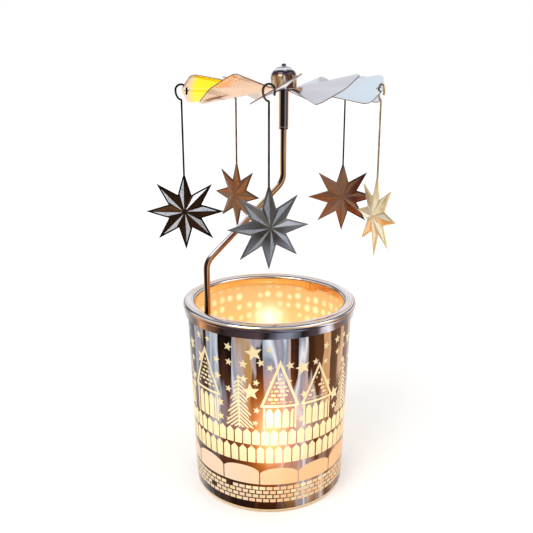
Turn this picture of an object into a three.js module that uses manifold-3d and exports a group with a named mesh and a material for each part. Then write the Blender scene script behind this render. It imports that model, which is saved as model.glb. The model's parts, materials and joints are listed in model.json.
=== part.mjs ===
// A candle carousel: a silvered glass cup with a tealight, a rolled ring on its rim, a bent rod that rises
// from the ring to a point, and a ten-bladed fan that turns on the point and carries five hanging stars.
// Millimetres, +Z up. The origin is the middle of the glass cup's flat base.
import * as THREE from "three";
import { mergeVertices } from "three/addons/utils/BufferGeometryUtils.js";
import Module from "manifold-3d";

const wasm = await Module();
wasm.setup();

// Clearances that all pieces share
const runningGap = 0.3; // between pieces that move on each other, or rest on a round face
const seatGap = 0.1; // between the flat seats of pieces that are fixed together
const overrun = 1; // how far a cutting shape passes the face that it cuts

// Glass cup
const cupHeight = 81.8;
const cupTopRadius = 34.6;
const cupBaseRadius = 32.4;
const cupWall = 2.4;
const cupFloor = 6;
const cupBaseRound = 1.6;
const cupFloorRound = 4;

// Rim ring, one rolled sheet over the rim of the glass
const ringSheet = 0.6;
const ringLipWidth = 5.1;
const ringLipRise = 1.7;
const ringCurlDrop = 1.3; // from the widest line of the bead down to the straight outer skirt
const ringCurlStart = 30; // how far down its arc the curl starts, in degrees
const ringOuterSkirt = 4; // from the widest line of the bead down to the outer edge
const ringInnerSkirt = 2.4;
const ringInnerGap = 0.4; // between the inner skirt and the glass
const ringOuterGap = 0.3; // between the outer skirt and the glass
const tabWidth = 6.4;
const tabDrop = 1.7;
const seamWidth = 0.3;
const tabAzimuth = 53;

// Support arm, one bent rod
const rodRadius = 1.25;
const armFootDrop = 0.4; // how far the foot ends below the inner skirt
const armFootAzimuth = 213.9;
const armLowerBend = 101.8;
const armUpperBend = 131;
const armBendRun = 3.2; // how much of each leg a bend takes
const needleLength = 5;
const needleTipRadius = 0.2;

// Fan, one stamped sheet
const hubX = 5.5;
const hubY = 0.5;
const fanHeight = 166.8; // the middle of the flat part of the sheet
const fanSheet = 0.4;
const bladeCount = 10;
const bladePitch = 29.5;
const firstBladeAzimuth = 264;
const fanDiscRadius = 5.8;
const neckHalfWidth = 1.15;
const bladeRootRadius = 10.5;
const bladeRootHalfWidth = 1.9;
const bladeShoulderRadius = 36.6;
const bladeShoulderHalfWidth = 10.8;
const bladeTipRadius = 39.6;
const bladeShoulderRound = 2.6;
const bladeTipRound = 1.8;
const hookHoleRadius = 1.1;
const hookHoleInset = 2; // from the tip of the blade to the middle of the hole

// Hub: a dome on the sheet, a tube under it and a bearing in the dome
const capRadius = 5.1;
const capHeight = 8.4;
const capWallHeight = 3.8;
const capSheet = 0.5;
const bearingRadius = 2;
const bearingHeight = 3.2;
const bearingConeRadius = 1.1;
const bearingConeDepth = 1.7;
const nubRadius = 0.9;
const nubHeight = 0.8;
const sleeveWall = 0.4;
const sleeveLength = 15.3; // below the sheet
const sleeveFlangeRadius = 3.1;
const sleeveFlangeThickness = 0.5;
const sleeveCrimpRadius = 2.7;
const sleeveCrimpThickness = 0.5;

// Star charms, each stamped in one piece with its stem and hook
const charmEvery = 2; // every second blade carries one
const charmYaws = [21, -72, 0, -47, 0]; // how each plate is turned about the vertical, from +X
const charmSheet = 0.5;
const hookBand = 0.73;
const hookHalfWidth = 2.5;
const hookTailDrop = 3.8; // from the middle of the hook's round top down to its lowest edge
const hookGapWidth = 1.5;
const hookGapLean = 30; // how the gap leans, in degrees
const hookHang = 0.4; // how far the middle of the hook's round top hangs below the sheet
const stemWidth = 0.7;
const stemOverlap = 3; // how far the stem runs down into the star's top point
const charmLength = 46.6; // from the sheet to the middle of the star
const starRadius = 15.4;
const starRelief = 1.7;
const starValleyShare = 0.453;
const starPoints = 8;

// Tealight
const tealightRadius = 19;
const tealightHeight = 15.5;
const tealightSheet = 0.4;
const tealightRimOut = 0.5;
const tealightRimDepth = 0.8;
const tealightFootRound = 1.5;
const waxHeight = 11.5;
const wickRadius = 0.8;
const wickRise = 7; // above the wax
const wickBend = 1.6; // how far the tip leans over
const sustainerRadius = 6.3;
const sustainerSheet = 0.4;
const collarWall = 0.35;
const collarHeight = 4;

// How many straight pieces stand for a round
const roundSteps = 60;
const tealightSteps = 40;
const smallRoundSteps = 32;
const rodSteps = 12;
const cornerSteps = 4;
const archSteps = 5;
const twistSteps = 6;
const curlSteps = 2;
const nubSteps = 3;
const rodStepShare = 1.6; // length of one straight piece of a bent rod, as a share of its radius

// Heights and radii that follow from the sizes above
const cupTaper = (cupTopRadius - cupBaseRadius) / cupHeight;
const cupMouthRadius = cupTopRadius - cupWall;
const ringTop = cupHeight + runningGap + ringSheet;
const ringWidest = ringTop - ringLipRise;
const ringMouthRadius = cupMouthRadius - ringInnerGap - ringSheet;
const ringOuterRadius = ringMouthRadius + ringLipWidth;
const sleeveBoreRadius = rodRadius + runningGap;
const sleeveRadius = sleeveBoreRadius + sleeveWall;
const capSeat = fanSheet / 2 + seatGap;
const hookLineRadius = hookHalfWidth - hookBand / 2;
const hookReach = Math.sqrt(hookLineRadius ** 2 - hookHang ** 2);
const hookHolePlace = bladeTipRadius - hookHoleInset;

const radians = THREE.MathUtils.degToRad;

// Makes a manifold solid of a closed three.js geometry
function solidOf(geometry) {
  const plain = geometry.clone();
  for (const name of Object.keys(plain.attributes)) {
    if (name !== "position") plain.deleteAttribute(name);
  }
  const merged = mergeVertices(plain);
  return new wasm.Manifold(
    new wasm.Mesh({
      numProp: 3,
      vertProperties: new Float32Array(merged.attributes.position.array),
      triVerts: new Uint32Array(merged.index.array),
    }),
  );
}

// Makes a three.js geometry of a manifold solid
function geometryOf(solid) {
  const mesh = solid.getMesh();
  const geometry = new THREE.BufferGeometry();
  geometry.setAttribute("position", new THREE.BufferAttribute(mesh.vertProperties, 3));
  geometry.setIndex(new THREE.BufferAttribute(mesh.triVerts, 1));
  const flat = geometry.toNonIndexed();
  flat.computeVertexNormals();
  return flat;
}

const point = (x, y) => new THREE.Vector2(x, y);

// Points on an ellipse's arc between two angles in degrees, both ends included
function arcPoints(x, y, acrossRadius, upRadius, fromDegrees, toDegrees, steps) {
  const points = [];
  for (let i = 0; i <= steps; i += 1) {
    const angle = radians(fromDegrees + ((toDegrees - fromDegrees) * i) / steps);
    points.push(point(x + acrossRadius * Math.cos(angle), y + upRadius * Math.sin(angle)));
  }
  return points;
}

// Turns a profile of (radius, height) points about the vertical.
// An outline that stays off the axis closes on itself.
function turned(profile, steps) {
  const onAxis = profile[0].x === 0;
  const closed = onAxis ? profile : [...profile, profile[0].clone()];
  const geometry = new THREE.LatheGeometry(closed, steps);
  return geometry.rotateX(Math.PI / 2);
}

// Joins matching rings of points into a closed skin with flat ends
function lofted(sections) {
  const around = sections[0].length;
  const positions = sections.flat().flatMap((p) => [p.x, p.y, p.z]);
  const faces = [];
  for (let s = 0; s + 1 < sections.length; s += 1) {
    for (let i = 0; i < around; i += 1) {
      const a = s * around + i;
      const b = s * around + ((i + 1) % around);
      faces.push(a, b, b + around, a, b + around, a + around);
    }
  }
  const last = (sections.length - 1) * around;
  for (let i = 1; i + 1 < around; i += 1) {
    faces.push(0, i + 1, i, last, last + i, last + i + 1);
  }
  const geometry = new THREE.BufferGeometry();
  geometry.setAttribute("position", new THREE.Float32BufferAttribute(positions, 3));
  geometry.setIndex(faces);
  return geometry;
}

// A rod of one thickness along straight legs with rounded bends between them
function bentRod(corners, radius, bendRun) {
  const path = new THREE.CurvePath();
  let start = corners[0];
  for (let i = 1; i < corners.length; i += 1) {
    const corner = corners[i];
    if (i === corners.length - 1) {
      path.add(new THREE.LineCurve3(start, corner));
      break;
    }
    const back = corners[i - 1].clone().sub(corner).setLength(bendRun).add(corner);
    const ahead = corners[i + 1].clone().sub(corner).setLength(bendRun).add(corner);
    path.add(new THREE.LineCurve3(start, back));
    path.add(new THREE.QuadraticBezierCurve3(back, corner, ahead));
    start = ahead;
  }
  const section = new THREE.Shape();
  section.absarc(0, 0, radius, 0, 2 * Math.PI);
  return new THREE.ExtrudeGeometry(section, {
    steps: Math.ceil(path.getLength() / (radius * rodStepShare)),
    curveSegments: rodSteps / 2,
    extrudePath: path,
  });
}

// The glass: outside up, over the rounded rim and down inside to the thick floor
function glassCup() {
  const rim = cupWall / 2;
  const inside = (height) => cupBaseRadius - cupWall + cupTaper * height;
  const floorCorner = cupFloor + cupFloorRound;
  const profile = [
    point(0, 0),
    ...arcPoints(
      cupBaseRadius - cupBaseRound,
      cupBaseRound,
      cupBaseRound,
      cupBaseRound,
      -90,
      0,
      cornerSteps,
    ),
    ...arcPoints(cupTopRadius - rim, cupHeight - rim, rim, rim, 0, 180, archSteps),
    ...arcPoints(
      inside(floorCorner) - cupFloorRound,
      floorCorner,
      cupFloorRound,
      cupFloorRound,
      0,
      -90,
      cornerSteps,
    ),
    point(0, cupFloor),
  ];
  return turned(profile, roundSteps);
}

// The ring: an arched lip, curled under at the outside into a straight skirt, and a low skirt inside
function rimRing() {
  const middle = ringMouthRadius + ringLipWidth / 2;
  const half = ringLipWidth / 2;
  const skirtInside = cupTopRadius + ringOuterGap;
  const skirtOutside = skirtInside + ringSheet;
  const curl = ringOuterRadius - skirtOutside;
  const innerCurl = ringOuterRadius - ringSheet - skirtInside;
  const profile = [
    point(ringMouthRadius + ringSheet, ringWidest - ringInnerSkirt),
    point(ringMouthRadius, ringWidest - ringInnerSkirt),
    ...arcPoints(middle, ringWidest, half, ringLipRise, 180, 0, archSteps + cornerSteps),
    ...arcPoints(skirtOutside, ringWidest, curl, ringCurlDrop, -ringCurlStart, -90, curlSteps),
    point(skirtOutside, ringWidest - ringOuterSkirt),
    point(skirtInside, ringWidest - ringOuterSkirt),
    ...arcPoints(
      skirtInside,
      ringWidest,
      innerCurl,
      ringCurlDrop - ringSheet,
      -90,
      -ringCurlStart,
      curlSteps,
    ),
    ...arcPoints(middle, ringWidest, half - ringSheet, ringLipRise - ringSheet, 0, 180, archSteps),
  ];
  const ring = solidOf(turned(profile.reverse(), roundSteps));
  return geometryOf(ring.add(rimTab()).subtract(ringSeam()));
}

// The round tab that hangs from the inner skirt where the ends of the rolled sheet meet
function rimTab() {
  const low = ringWidest - ringInnerSkirt - tabDrop - overrun;
  const high = ringWidest - overrun / 2;
  const band = turned(
    [
      point(ringMouthRadius, low),
      point(ringMouthRadius + ringSheet, low),
      point(ringMouthRadius + ringSheet, high),
      point(ringMouthRadius, high),
    ],
    roundSteps,
  );
  const outline = new THREE.CylinderGeometry(
    1,
    1,
    ringOuterRadius,
    smallRoundSteps,
  );
  outline.rotateZ(Math.PI / 2);
  outline.scale(1, tabWidth / 2, tabDrop + ringInnerSkirt / 2);
  outline.translate(ringMouthRadius, 0, ringWidest - ringInnerSkirt / 2);
  outline.rotateZ(radians(tabAzimuth));
  return solidOf(band).intersect(solidOf(outline));
}

// The slit between the ends of the rolled sheet
function ringSeam() {
  const height = ringInnerSkirt + tabDrop + overrun;
  const slit = new THREE.BoxGeometry(ringSheet + 2 * overrun, seamWidth, height);
  slit.translate(ringMouthRadius + ringSheet / 2, 0, ringWidest - height / 2);
  slit.rotateZ(radians(tabAzimuth));
  return solidOf(slit);
}

// The rod rises from its foot in the ring, leans over to the hub's axis and ends in a ground point
function supportArm() {
  const footRadius = ringMouthRadius - runningGap - rodRadius;
  const footX = footRadius * Math.cos(radians(armFootAzimuth));
  const footY = footRadius * Math.sin(radians(armFootAzimuth));
  const foot = ringWidest - ringInnerSkirt - armFootDrop;
  const needleTip = fanHeight + capSeat + bearingFoot() + bearingConeDepth - runningGap;
  const shoulder = needleTip - needleLength;
  const rod = bentRod(
    [
      new THREE.Vector3(footX, footY, foot),
      new THREE.Vector3(footX, footY, armLowerBend),
      new THREE.Vector3(hubX, hubY, armUpperBend),
      new THREE.Vector3(hubX, hubY, shoulder),
    ],
    rodRadius,
    armBendRun,
  );
  const needle = new THREE.CylinderGeometry(
    needleTipRadius,
    rodRadius,
    needleLength,
    smallRoundSteps / 2,
  );
  needle.rotateX(Math.PI / 2);
  needle.translate(hubX, hubY, shoulder + needleLength / 2);
  const root = new THREE.CylinderGeometry(rodRadius, rodRadius, overrun, smallRoundSteps / 2);
  root.rotateX(Math.PI / 2);
  root.translate(hubX, hubY, shoulder - overrun / 2);
  return geometryOf(solidOf(rod).add(solidOf(root)).add(solidOf(needle)));
}

// One blade's flat outline: flaring sides, round shoulders and a blunt point, with a hole for a hook
function bladeOutline(holed) {
  const shape = new THREE.Shape();
  const root = point(bladeRootRadius, bladeRootHalfWidth);
  const shoulder = point(bladeShoulderRadius, bladeShoulderHalfWidth);
  const tip = point(bladeTipRadius, 0);
  const toward = (from, to, run) => to.clone().sub(from).setLength(run).add(from);
  const before = toward(shoulder, root, bladeShoulderRound);
  const after = toward(shoulder, tip, bladeShoulderRound);
  const nearTip = toward(tip, shoulder, bladeTipRound);
  shape.moveTo(root.x, -root.y);
  shape.lineTo(before.x, -before.y);
  shape.quadraticCurveTo(shoulder.x, -shoulder.y, after.x, -after.y);
  shape.lineTo(nearTip.x, -nearTip.y);
  shape.quadraticCurveTo(tip.x, 0, nearTip.x, nearTip.y);
  shape.lineTo(after.x, after.y);
  shape.quadraticCurveTo(shoulder.x, shoulder.y, before.x, before.y);
  shape.lineTo(root.x, root.y);
  shape.closePath();
  if (holed) {
    const hole = new THREE.Path();
    hole.absarc(hookHolePlace, 0, hookHoleRadius, 0, 2 * Math.PI, true);
    shape.holes.push(hole);
  }
  return shape;
}

// A blade plate turned to its pitch about the line from the hub to its tip
function bladePlate(holed) {
  const plate = new THREE.ExtrudeGeometry(bladeOutline(holed), {
    depth: fanSheet,
    bevelEnabled: false,
    curveSegments: cornerSteps,
  });
  plate.translate(0, 0, -fanSheet / 2);
  plate.rotateX(radians(bladePitch));
  return plate;
}

// The neck that twists from the flat disc to the pitch of the blade, and widens on the way
function bladeNeck() {
  const from = fanDiscRadius - overrun;
  const to = bladeRootRadius + overrun / 2;
  const sections = [];
  for (let i = 0; i <= twistSteps; i += 1) {
    const share = i / twistSteps;
    const radius = from + (to - from) * share;
    const halfWidth = neckHalfWidth + (bladeRootHalfWidth - neckHalfWidth) * share;
    const turn = radians(bladePitch) * THREE.MathUtils.smoothstep(share, 0, 1);
    const corners = [
      new THREE.Vector3(radius, -halfWidth, -fanSheet / 2),
      new THREE.Vector3(radius, halfWidth, -fanSheet / 2),
      new THREE.Vector3(radius, halfWidth, fanSheet / 2),
      new THREE.Vector3(radius, -halfWidth, fanSheet / 2),
    ];
    sections.push(corners.map((c) => c.applyAxisAngle(new THREE.Vector3(1, 0, 0), turn)));
  }
  return lofted(sections);
}

// The whole fan: a disc with a hole for the sleeve, and a neck and a blade for each place round it
function fanBlades() {
  const disc = new THREE.Shape();
  disc.absarc(0, 0, fanDiscRadius, 0, 2 * Math.PI);
  const hole = new THREE.Path();
  hole.absarc(0, 0, sleeveRadius + runningGap, 0, 2 * Math.PI, true);
  disc.holes.push(hole);
  const flat = new THREE.ExtrudeGeometry(disc, {
    depth: fanSheet,
    bevelEnabled: false,
    curveSegments: smallRoundSteps / 2,
  });
  flat.translate(0, 0, -fanSheet / 2);
  let fan = solidOf(flat);
  for (let i = 0; i < bladeCount; i += 1) {
    const azimuth = radians(bladeAzimuth(i));
    const plate = bladePlate(i % charmEvery === 0).rotateZ(azimuth);
    const neck = bladeNeck().rotateZ(azimuth);
    fan = fan.add(solidOf(plate)).add(solidOf(neck));
  }
  return geometryOf(fan);
}

const bladeAzimuth = (i) => firstBladeAzimuth + (i * 360) / bladeCount;

// Height of the dome's inside above its own lower edge, at a radius from the axis
function capInside(radius) {
  const across = capRadius - capSheet;
  const rise = capHeight - capWallHeight - capSheet;
  return capWallHeight + rise * Math.sqrt(1 - (radius / across) ** 2);
}

// Height of the bearing's lower face above the dome's lower edge
const bearingFoot = () => capInside(bearingRadius) - seatGap - bearingHeight;

// The dome: a thin shell, open below, with a small hole on top for the bearing's riveted end
function hubCap() {
  const rise = capHeight - capWallHeight;
  const hole = nubRadius + seatGap;
  const inside = capRadius - capSheet;
  const turn = THREE.MathUtils.radToDeg(Math.acos(hole / capRadius));
  const innerTurn = THREE.MathUtils.radToDeg(Math.acos(hole / inside));
  const profile = [
    point(inside, 0),
    point(capRadius, 0),
    ...arcPoints(0, capWallHeight, capRadius, rise, 0, turn, archSteps),
    ...arcPoints(0, capWallHeight, inside, rise - capSheet, innerTurn, 0, archSteps),
  ];
  return turned(profile, smallRoundSteps);
}

// The bearing: a plug with a cone for the point of the rod, and a stem riveted over the dome
function pivotBearing() {
  const foot = bearingFoot();
  const shoulder = foot + bearingHeight;
  const top = capHeight + nubHeight;
  const pitRadius = needleTipRadius + runningGap;
  const profile = [
    point(0, foot + bearingConeDepth),
    point(pitRadius, foot + bearingConeDepth),
    point(bearingConeRadius, foot),
    point(bearingRadius, foot),
    point(bearingRadius, shoulder),
    point(nubRadius, shoulder),
    ...arcPoints(0, top - nubRadius / 2, nubRadius, nubRadius / 2, 0, 90, nubSteps),
  ];
  return turned(profile, smallRoundSteps);
}

// The sleeve: a tube round the rod, with a flange under the sheet and a crimped collar over it
function hubSleeve() {
  const under = -fanSheet / 2 - seatGap;
  const over = fanSheet / 2 + seatGap;
  const profile = [
    point(sleeveBoreRadius, -sleeveLength),
    point(sleeveRadius, -sleeveLength),
    point(sleeveRadius, under - sleeveFlangeThickness),
    point(sleeveFlangeRadius, under - sleeveFlangeThickness),
    point(sleeveFlangeRadius, under),
    point(sleeveRadius, under),
    point(sleeveRadius, over),
    point(sleeveCrimpRadius, over),
    point(sleeveCrimpRadius, over + sleeveCrimpThickness),
    point(sleeveBoreRadius, over + sleeveCrimpThickness),
  ];
  return turned(profile, smallRoundSteps);
}

// The hook's outline at one half width: a round top and a longer, narrowing lower half
function hookPath(path, halfWidth, tailDrop) {
  path.absellipse(0, 0, halfWidth, halfWidth, 0, Math.PI);
  path.absellipse(0, 0, halfWidth, tailDrop, Math.PI, 2 * Math.PI);
  return path;
}

// The open hook: a ring with a gap on its lower right, beside the stem
function charmHook() {
  const ring = hookPath(new THREE.Shape(), hookHalfWidth, hookTailDrop);
  ring.holes.push(hookPath(new THREE.Path(), hookHalfWidth - hookBand, hookTailDrop - hookBand));
  const band = new THREE.ExtrudeGeometry(ring, {
    depth: charmSheet,
    bevelEnabled: false,
    curveSegments: smallRoundSteps / 4,
  });
  band.translate(0, 0, -charmSheet / 2);
  const gap = new THREE.BoxGeometry(hookGapWidth, hookBand + 2 * overrun, charmSheet + overrun);
  gap.rotateZ(radians(hookGapLean));
  gap.translate(stemWidth / 2 + hookGapWidth / 2, -hookTailDrop + hookBand, 0);
  return solidOf(band).subtract(solidOf(gap));
}

// The faceted star: ridges run from its raised middle to the points, and valleys between them
function charmStar() {
  const corners = 2 * starPoints;
  const ring = (lift) => {
    const points = [];
    for (let i = 0; i < corners; i += 1) {
      const radius = i % 2 === 0 ? starRadius : starRadius * starValleyShare;
      const angle = Math.PI / 2 + (i * Math.PI) / starPoints;
      points.push(radius * Math.cos(angle), radius * Math.sin(angle), lift);
    }
    return points;
  };
  const half = charmSheet / 2;
  const positions = [...ring(half), ...ring(-half), 0, 0, starRelief + half, 0, 0, starRelief - half];
  const frontMiddle = 2 * corners;
  const backMiddle = frontMiddle + 1;
  const faces = [];
  for (let i = 0; i < corners; i += 1) {
    const next = (i + 1) % corners;
    faces.push(frontMiddle, i, next);
    faces.push(backMiddle, next + corners, i + corners);
    faces.push(i, i + corners, next + corners, i, next + corners, next);
  }
  const geometry = new THREE.BufferGeometry();
  geometry.setAttribute("position", new THREE.Float32BufferAttribute(positions, 3));
  geometry.setIndex(faces);
  geometry.translate(0, hookHang - charmLength, 0);
  return solidOf(geometry);
}

// One charm, drawn flat and stood upright, its middle line through the middle of the hook's round top
function starCharm() {
  const stemTop = -hookTailDrop + hookBand / 2;
  const stemFoot = hookHang - charmLength + starRadius - stemOverlap;
  const stem = new THREE.BoxGeometry(stemWidth, stemTop - stemFoot, charmSheet);
  stem.translate(0, (stemTop + stemFoot) / 2, 0);
  const charm = charmHook().add(solidOf(stem)).add(charmStar());
  return geometryOf(charm).rotateX(Math.PI / 2);
}

// Where the middle of a charm's hook hangs, from the middle of the fan. The band of the hook passes through
// the middle of the blade's hole, and the rest of the hook lies outside the tip.
function charmPlace(azimuthDegrees, yawDegrees) {
  const azimuth = radians(azimuthDegrees);
  const yaw = radians(yawDegrees);
  const outward = Math.sign(Math.cos(yaw - azimuth));
  return new THREE.Vector3(
    hookHolePlace * Math.cos(azimuth) + outward * hookReach * Math.cos(yaw),
    hookHolePlace * Math.sin(azimuth) + outward * hookReach * Math.sin(yaw),
    -hookHang,
  );
}

// The thin aluminium cup of the tealight, with a rolled rim
function tealightCup() {
  const rim = tealightRadius + tealightRimOut;
  const round = tealightFootRound;
  const inner = round - tealightSheet;
  const profile = [
    point(0, 0),
    ...arcPoints(tealightRadius - round, round, round, round, -90, 0, cornerSteps),
    point(tealightRadius, tealightHeight - tealightRimDepth),
    point(rim, tealightHeight - tealightRimDepth),
    point(rim, tealightHeight),
    point(tealightRadius - tealightSheet, tealightHeight),
    ...arcPoints(tealightRadius - round, round, inner, inner, 0, -90, cornerSteps),
    point(0, tealightSheet),
  ];
  return turned(profile, tealightSteps);
}

// The wax, with a stepped bore for the wick's foot, its collar and the wick
function tealightWax() {
  const radius = tealightRadius - tealightSheet - runningGap;
  const foot = tealightSheet + seatGap;
  const overFoot = foot + sustainerSheet + runningGap;
  const collarTop = foot + collarHeight + runningGap;
  const collarBore = wickRadius + runningGap + collarWall + runningGap;
  const wickBore = wickRadius + runningGap;
  const top = tealightSheet + waxHeight;
  const profile = [
    point(wickBore, collarTop),
    point(collarBore, collarTop),
    point(collarBore, overFoot),
    point(sustainerRadius + runningGap, overFoot),
    point(sustainerRadius + runningGap, foot),
    point(radius - tealightFootRound, foot),
    point(radius, foot + tealightFootRound),
    point(radius, top),
    point(wickBore, top),
  ];
  return turned(profile, tealightSteps);
}

// The wick's foot: a thin disc with a short collar
function wickSustainer() {
  const foot = tealightSheet + seatGap;
  const bore = wickRadius + runningGap;
  const profile = [
    point(bore, foot),
    point(sustainerRadius, foot),
    point(sustainerRadius, foot + sustainerSheet),
    point(bore + collarWall, foot + sustainerSheet),
    point(bore + collarWall, foot + collarHeight),
    point(bore, foot + collarHeight),
  ];
  return turned(profile, smallRoundSteps);
}

// The wick: straight through the wax, its tip leaning over
function candleWick() {
  const foot = tealightSheet + seatGap;
  const top = tealightSheet + waxHeight;
  return bentRod(
    [
      new THREE.Vector3(0, 0, foot),
      new THREE.Vector3(0, 0, top + wickRise / 2),
      new THREE.Vector3(wickBend, 0, top + wickRise),
    ],
    wickRadius,
    wickRise / 4,
  );
}

const material = (color, roughness, metalness) =>
  new THREE.MeshStandardMaterial({ color, roughness, metalness });

const silvered = material(0xc9c4bd, 0.1, 0.9);
const chrome = material(0xd5d7da, 0.08, 1);
const fanSteel = material(0xd8c8bc, 0.15, 1);
const starSteel = material(0x8a7660, 0.25, 1);
const bearingSteel = material(0x3a3a3e, 0.3, 1);
const aluminium = material(0xcfcfcf, 0.35, 1);
const wax = material(0xf6ecd9, 0.5, 0);
const cotton = material(0x3b2c22, 0.9, 0);

function piece(name, geometry, itsMaterial) {
  const mesh = new THREE.Mesh(geometry, itsMaterial);
  mesh.name = name;
  return mesh;
}

const carousel = new THREE.Group();
carousel.add(piece("glass_cup", glassCup(), silvered));

const stand = new THREE.Group();
stand.add(piece("rim_ring", rimRing(), chrome));
stand.add(piece("support_arm", supportArm(), chrome));
carousel.add(stand);

const rotor = new THREE.Group();
rotor.position.set(hubX, hubY, fanHeight);
rotor.add(piece("fan_sheet", fanBlades(), fanSteel));
rotor.add(piece("hub_sleeve", hubSleeve(), chrome));
const cap = new THREE.Group();
cap.position.z = capSeat;
cap.add(piece("hub_cap", hubCap(), chrome));
cap.add(piece("pivot_bearing", pivotBearing(), bearingSteel));
rotor.add(cap);
charmYaws.forEach((yaw, i) => {
  const charm = piece("star_charm_" + (i + 1), starCharm(), starSteel);
  charm.position.copy(charmPlace(bladeAzimuth(i * charmEvery), yaw));
  charm.rotation.z = radians(yaw);
  rotor.add(charm);
});
carousel.add(rotor);

const tealight = new THREE.Group();
tealight.position.z = cupFloor + runningGap;
tealight.add(piece("tealight_cup", tealightCup(), aluminium));
tealight.add(piece("tealight_wax", tealightWax(), wax));
tealight.add(piece("wick_sustainer", wickSustainer(), aluminium));
tealight.add(piece("wick", candleWick(), cotton));
carousel.add(tealight);

export default carousel;
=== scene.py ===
"""A lit candle carousel: a silvered glass cup with an etched print, a rolled ring, a bent rod, and a
ten-bladed fan that turns on the rod's point and carries five faceted stars."""

import json
import math

import bmesh
import bpy
from bpy.props import FloatProperty, FloatVectorProperty, IntProperty, PointerProperty
from mathutils import Euler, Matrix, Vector


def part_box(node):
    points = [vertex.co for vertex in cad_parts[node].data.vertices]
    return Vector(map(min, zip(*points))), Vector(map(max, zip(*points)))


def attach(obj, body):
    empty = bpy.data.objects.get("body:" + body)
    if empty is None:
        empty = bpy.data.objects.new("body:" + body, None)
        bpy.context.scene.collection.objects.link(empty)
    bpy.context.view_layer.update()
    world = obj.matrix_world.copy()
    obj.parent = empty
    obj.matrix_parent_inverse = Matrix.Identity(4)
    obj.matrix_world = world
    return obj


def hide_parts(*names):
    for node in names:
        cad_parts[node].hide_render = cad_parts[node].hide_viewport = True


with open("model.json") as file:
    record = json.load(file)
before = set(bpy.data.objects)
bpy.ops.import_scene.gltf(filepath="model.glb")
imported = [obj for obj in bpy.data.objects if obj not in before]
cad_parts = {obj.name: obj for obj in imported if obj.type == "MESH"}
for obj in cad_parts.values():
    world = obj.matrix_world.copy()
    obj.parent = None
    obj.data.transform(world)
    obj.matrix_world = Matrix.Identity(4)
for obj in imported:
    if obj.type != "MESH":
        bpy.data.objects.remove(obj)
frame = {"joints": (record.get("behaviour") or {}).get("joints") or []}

bl_info = {
    "name": "Candle Carousel",
    "version": (1, 0, 0),
    "blender": (4, 5, 0),
    "location": "View3D > Sidebar > Carousel",
    "description": "Models a lit candle carousel piece by piece round its packed frame",
    "category": "Add Mesh",
}

MM = 0.001
WELD = 0.0005 * MM  # corners closer than this are one corner
NEAR = 0.01 * MM  # how far a corner may lie off a line that it is meant to be on
ROUND_STEPS = 144
HUB_STEPS = 72
SMALL_STEPS = 48
UPRIGHT = (math.radians(90), 0, 0)  # stands a flat primitive up to face the front

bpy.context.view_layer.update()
JOINTS = {joint["name"]: joint for joint in frame["joints"]}
AXIS = Vector((0, 0, 0))  # the glass stands round the upright line through the origin
HUB = Vector(JOINTS["fan_spin"]["pos_m"])
CUP_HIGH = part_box("glass_cup")[1]
RING_LOW, RING_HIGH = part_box("rim_ring")
ARM_LOW, ARM_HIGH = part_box("support_arm")
CAP_LOW, CAP_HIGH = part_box("hub_cap")
BEARING_LOW, BEARING_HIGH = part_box("pivot_bearing")
SLEEVE_LOW, SLEEVE_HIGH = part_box("hub_sleeve")
TEALIGHT_LOW, TEALIGHT_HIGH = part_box("tealight_cup")
WAX_LOW, WAX_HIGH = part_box("tealight_wax")
FOOT_LOW, FOOT_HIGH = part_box("wick_sustainer")
WICK_LOW, WICK_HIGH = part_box("wick")


def tint(red, green, blue):
    """A colour written as it looks on a screen, 0 to 255, in the linear values that shaders use."""
    shares = [channel / 255 for channel in (red, green, blue)]
    return [s / 12.92 if s <= 0.04045 else ((s + 0.055) / 1.055) ** 2.4 for s in shares]


def length(name, description, default):
    """A size that a user can change, shown in the scene's own unit of length."""
    return FloatProperty(
        name=name,
        description=description,
        default=default,
        min=0.0,
        precision=5,
        subtype="DISTANCE",
        unit="LENGTH",
    )


def turn(name, description, default):
    """An angle that a user can change, given here in degrees."""
    return FloatProperty(
        name=name,
        description=description,
        default=math.radians(default),
        subtype="ANGLE",
        unit="ROTATION",
    )


def share(name, description, default):
    """A part of a whole, from 0 to 1."""
    return FloatProperty(
        name=name, description=description, default=default, min=0.0, max=1.0, subtype="FACTOR"
    )


def colour(name, description, default):
    """A colour that a user can change."""
    return FloatVectorProperty(
        name=name,
        description=description,
        default=tint(*default),
        min=0.0,
        max=1.0,
        size=3,
        subtype="COLOR",
    )


def count(name, description, default, least):
    """A whole number that a user can change."""
    return IntProperty(name=name, description=description, default=default, min=least)


class CupSettings(bpy.types.PropertyGroup):
    """Sizes and colours of the silvered glass."""

    wall: length("Wall", "Thickness of the glass wall", 2.4 * MM)
    floor: length("Floor", "Thickness of the glass floor", 6 * MM)
    base_radius: length("Base radius", "Outer radius at the foot of the wall", 32.4 * MM)
    base_round: length("Base round", "Radius of the foot's outer edge", 1.6 * MM)
    floor_round: length("Floor round", "Radius inside, between wall and floor", 4 * MM)
    plating_foot: length("Plating foot", "Height at which the silvering starts", 1.7 * MM)
    # The six streak colours below are painted reflections of a room and of the candle in the plating's
    # colour, not colours of the plating itself.
    silver: colour("Silver", "Bright plating", (222, 224, 232))
    steel: colour("Steel", "Blue-grey streaks in the plating", (120, 134, 152))
    mauve: colour("Mauve", "Warm grey streaks in the plating", (178, 160, 160))
    umber: colour("Umber", "Brown streaks in the plating", (62, 36, 28))
    night: colour("Night", "Darkest streaks in the plating", (16, 8, 8))
    gold: colour("Gold", "Candle-lit streaks in the plating", (172, 130, 66))
    cream: colour("Cream", "Etched stars and windows", (236, 222, 178))
    peach: colour("Peach", "Etched snow and bricks", (228, 180, 134))
    inside: colour("Inside", "Frosted inside of the glass", (220, 188, 134))
    see_through: share("See-through", "How clear the etched print is", 0.35)


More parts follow.
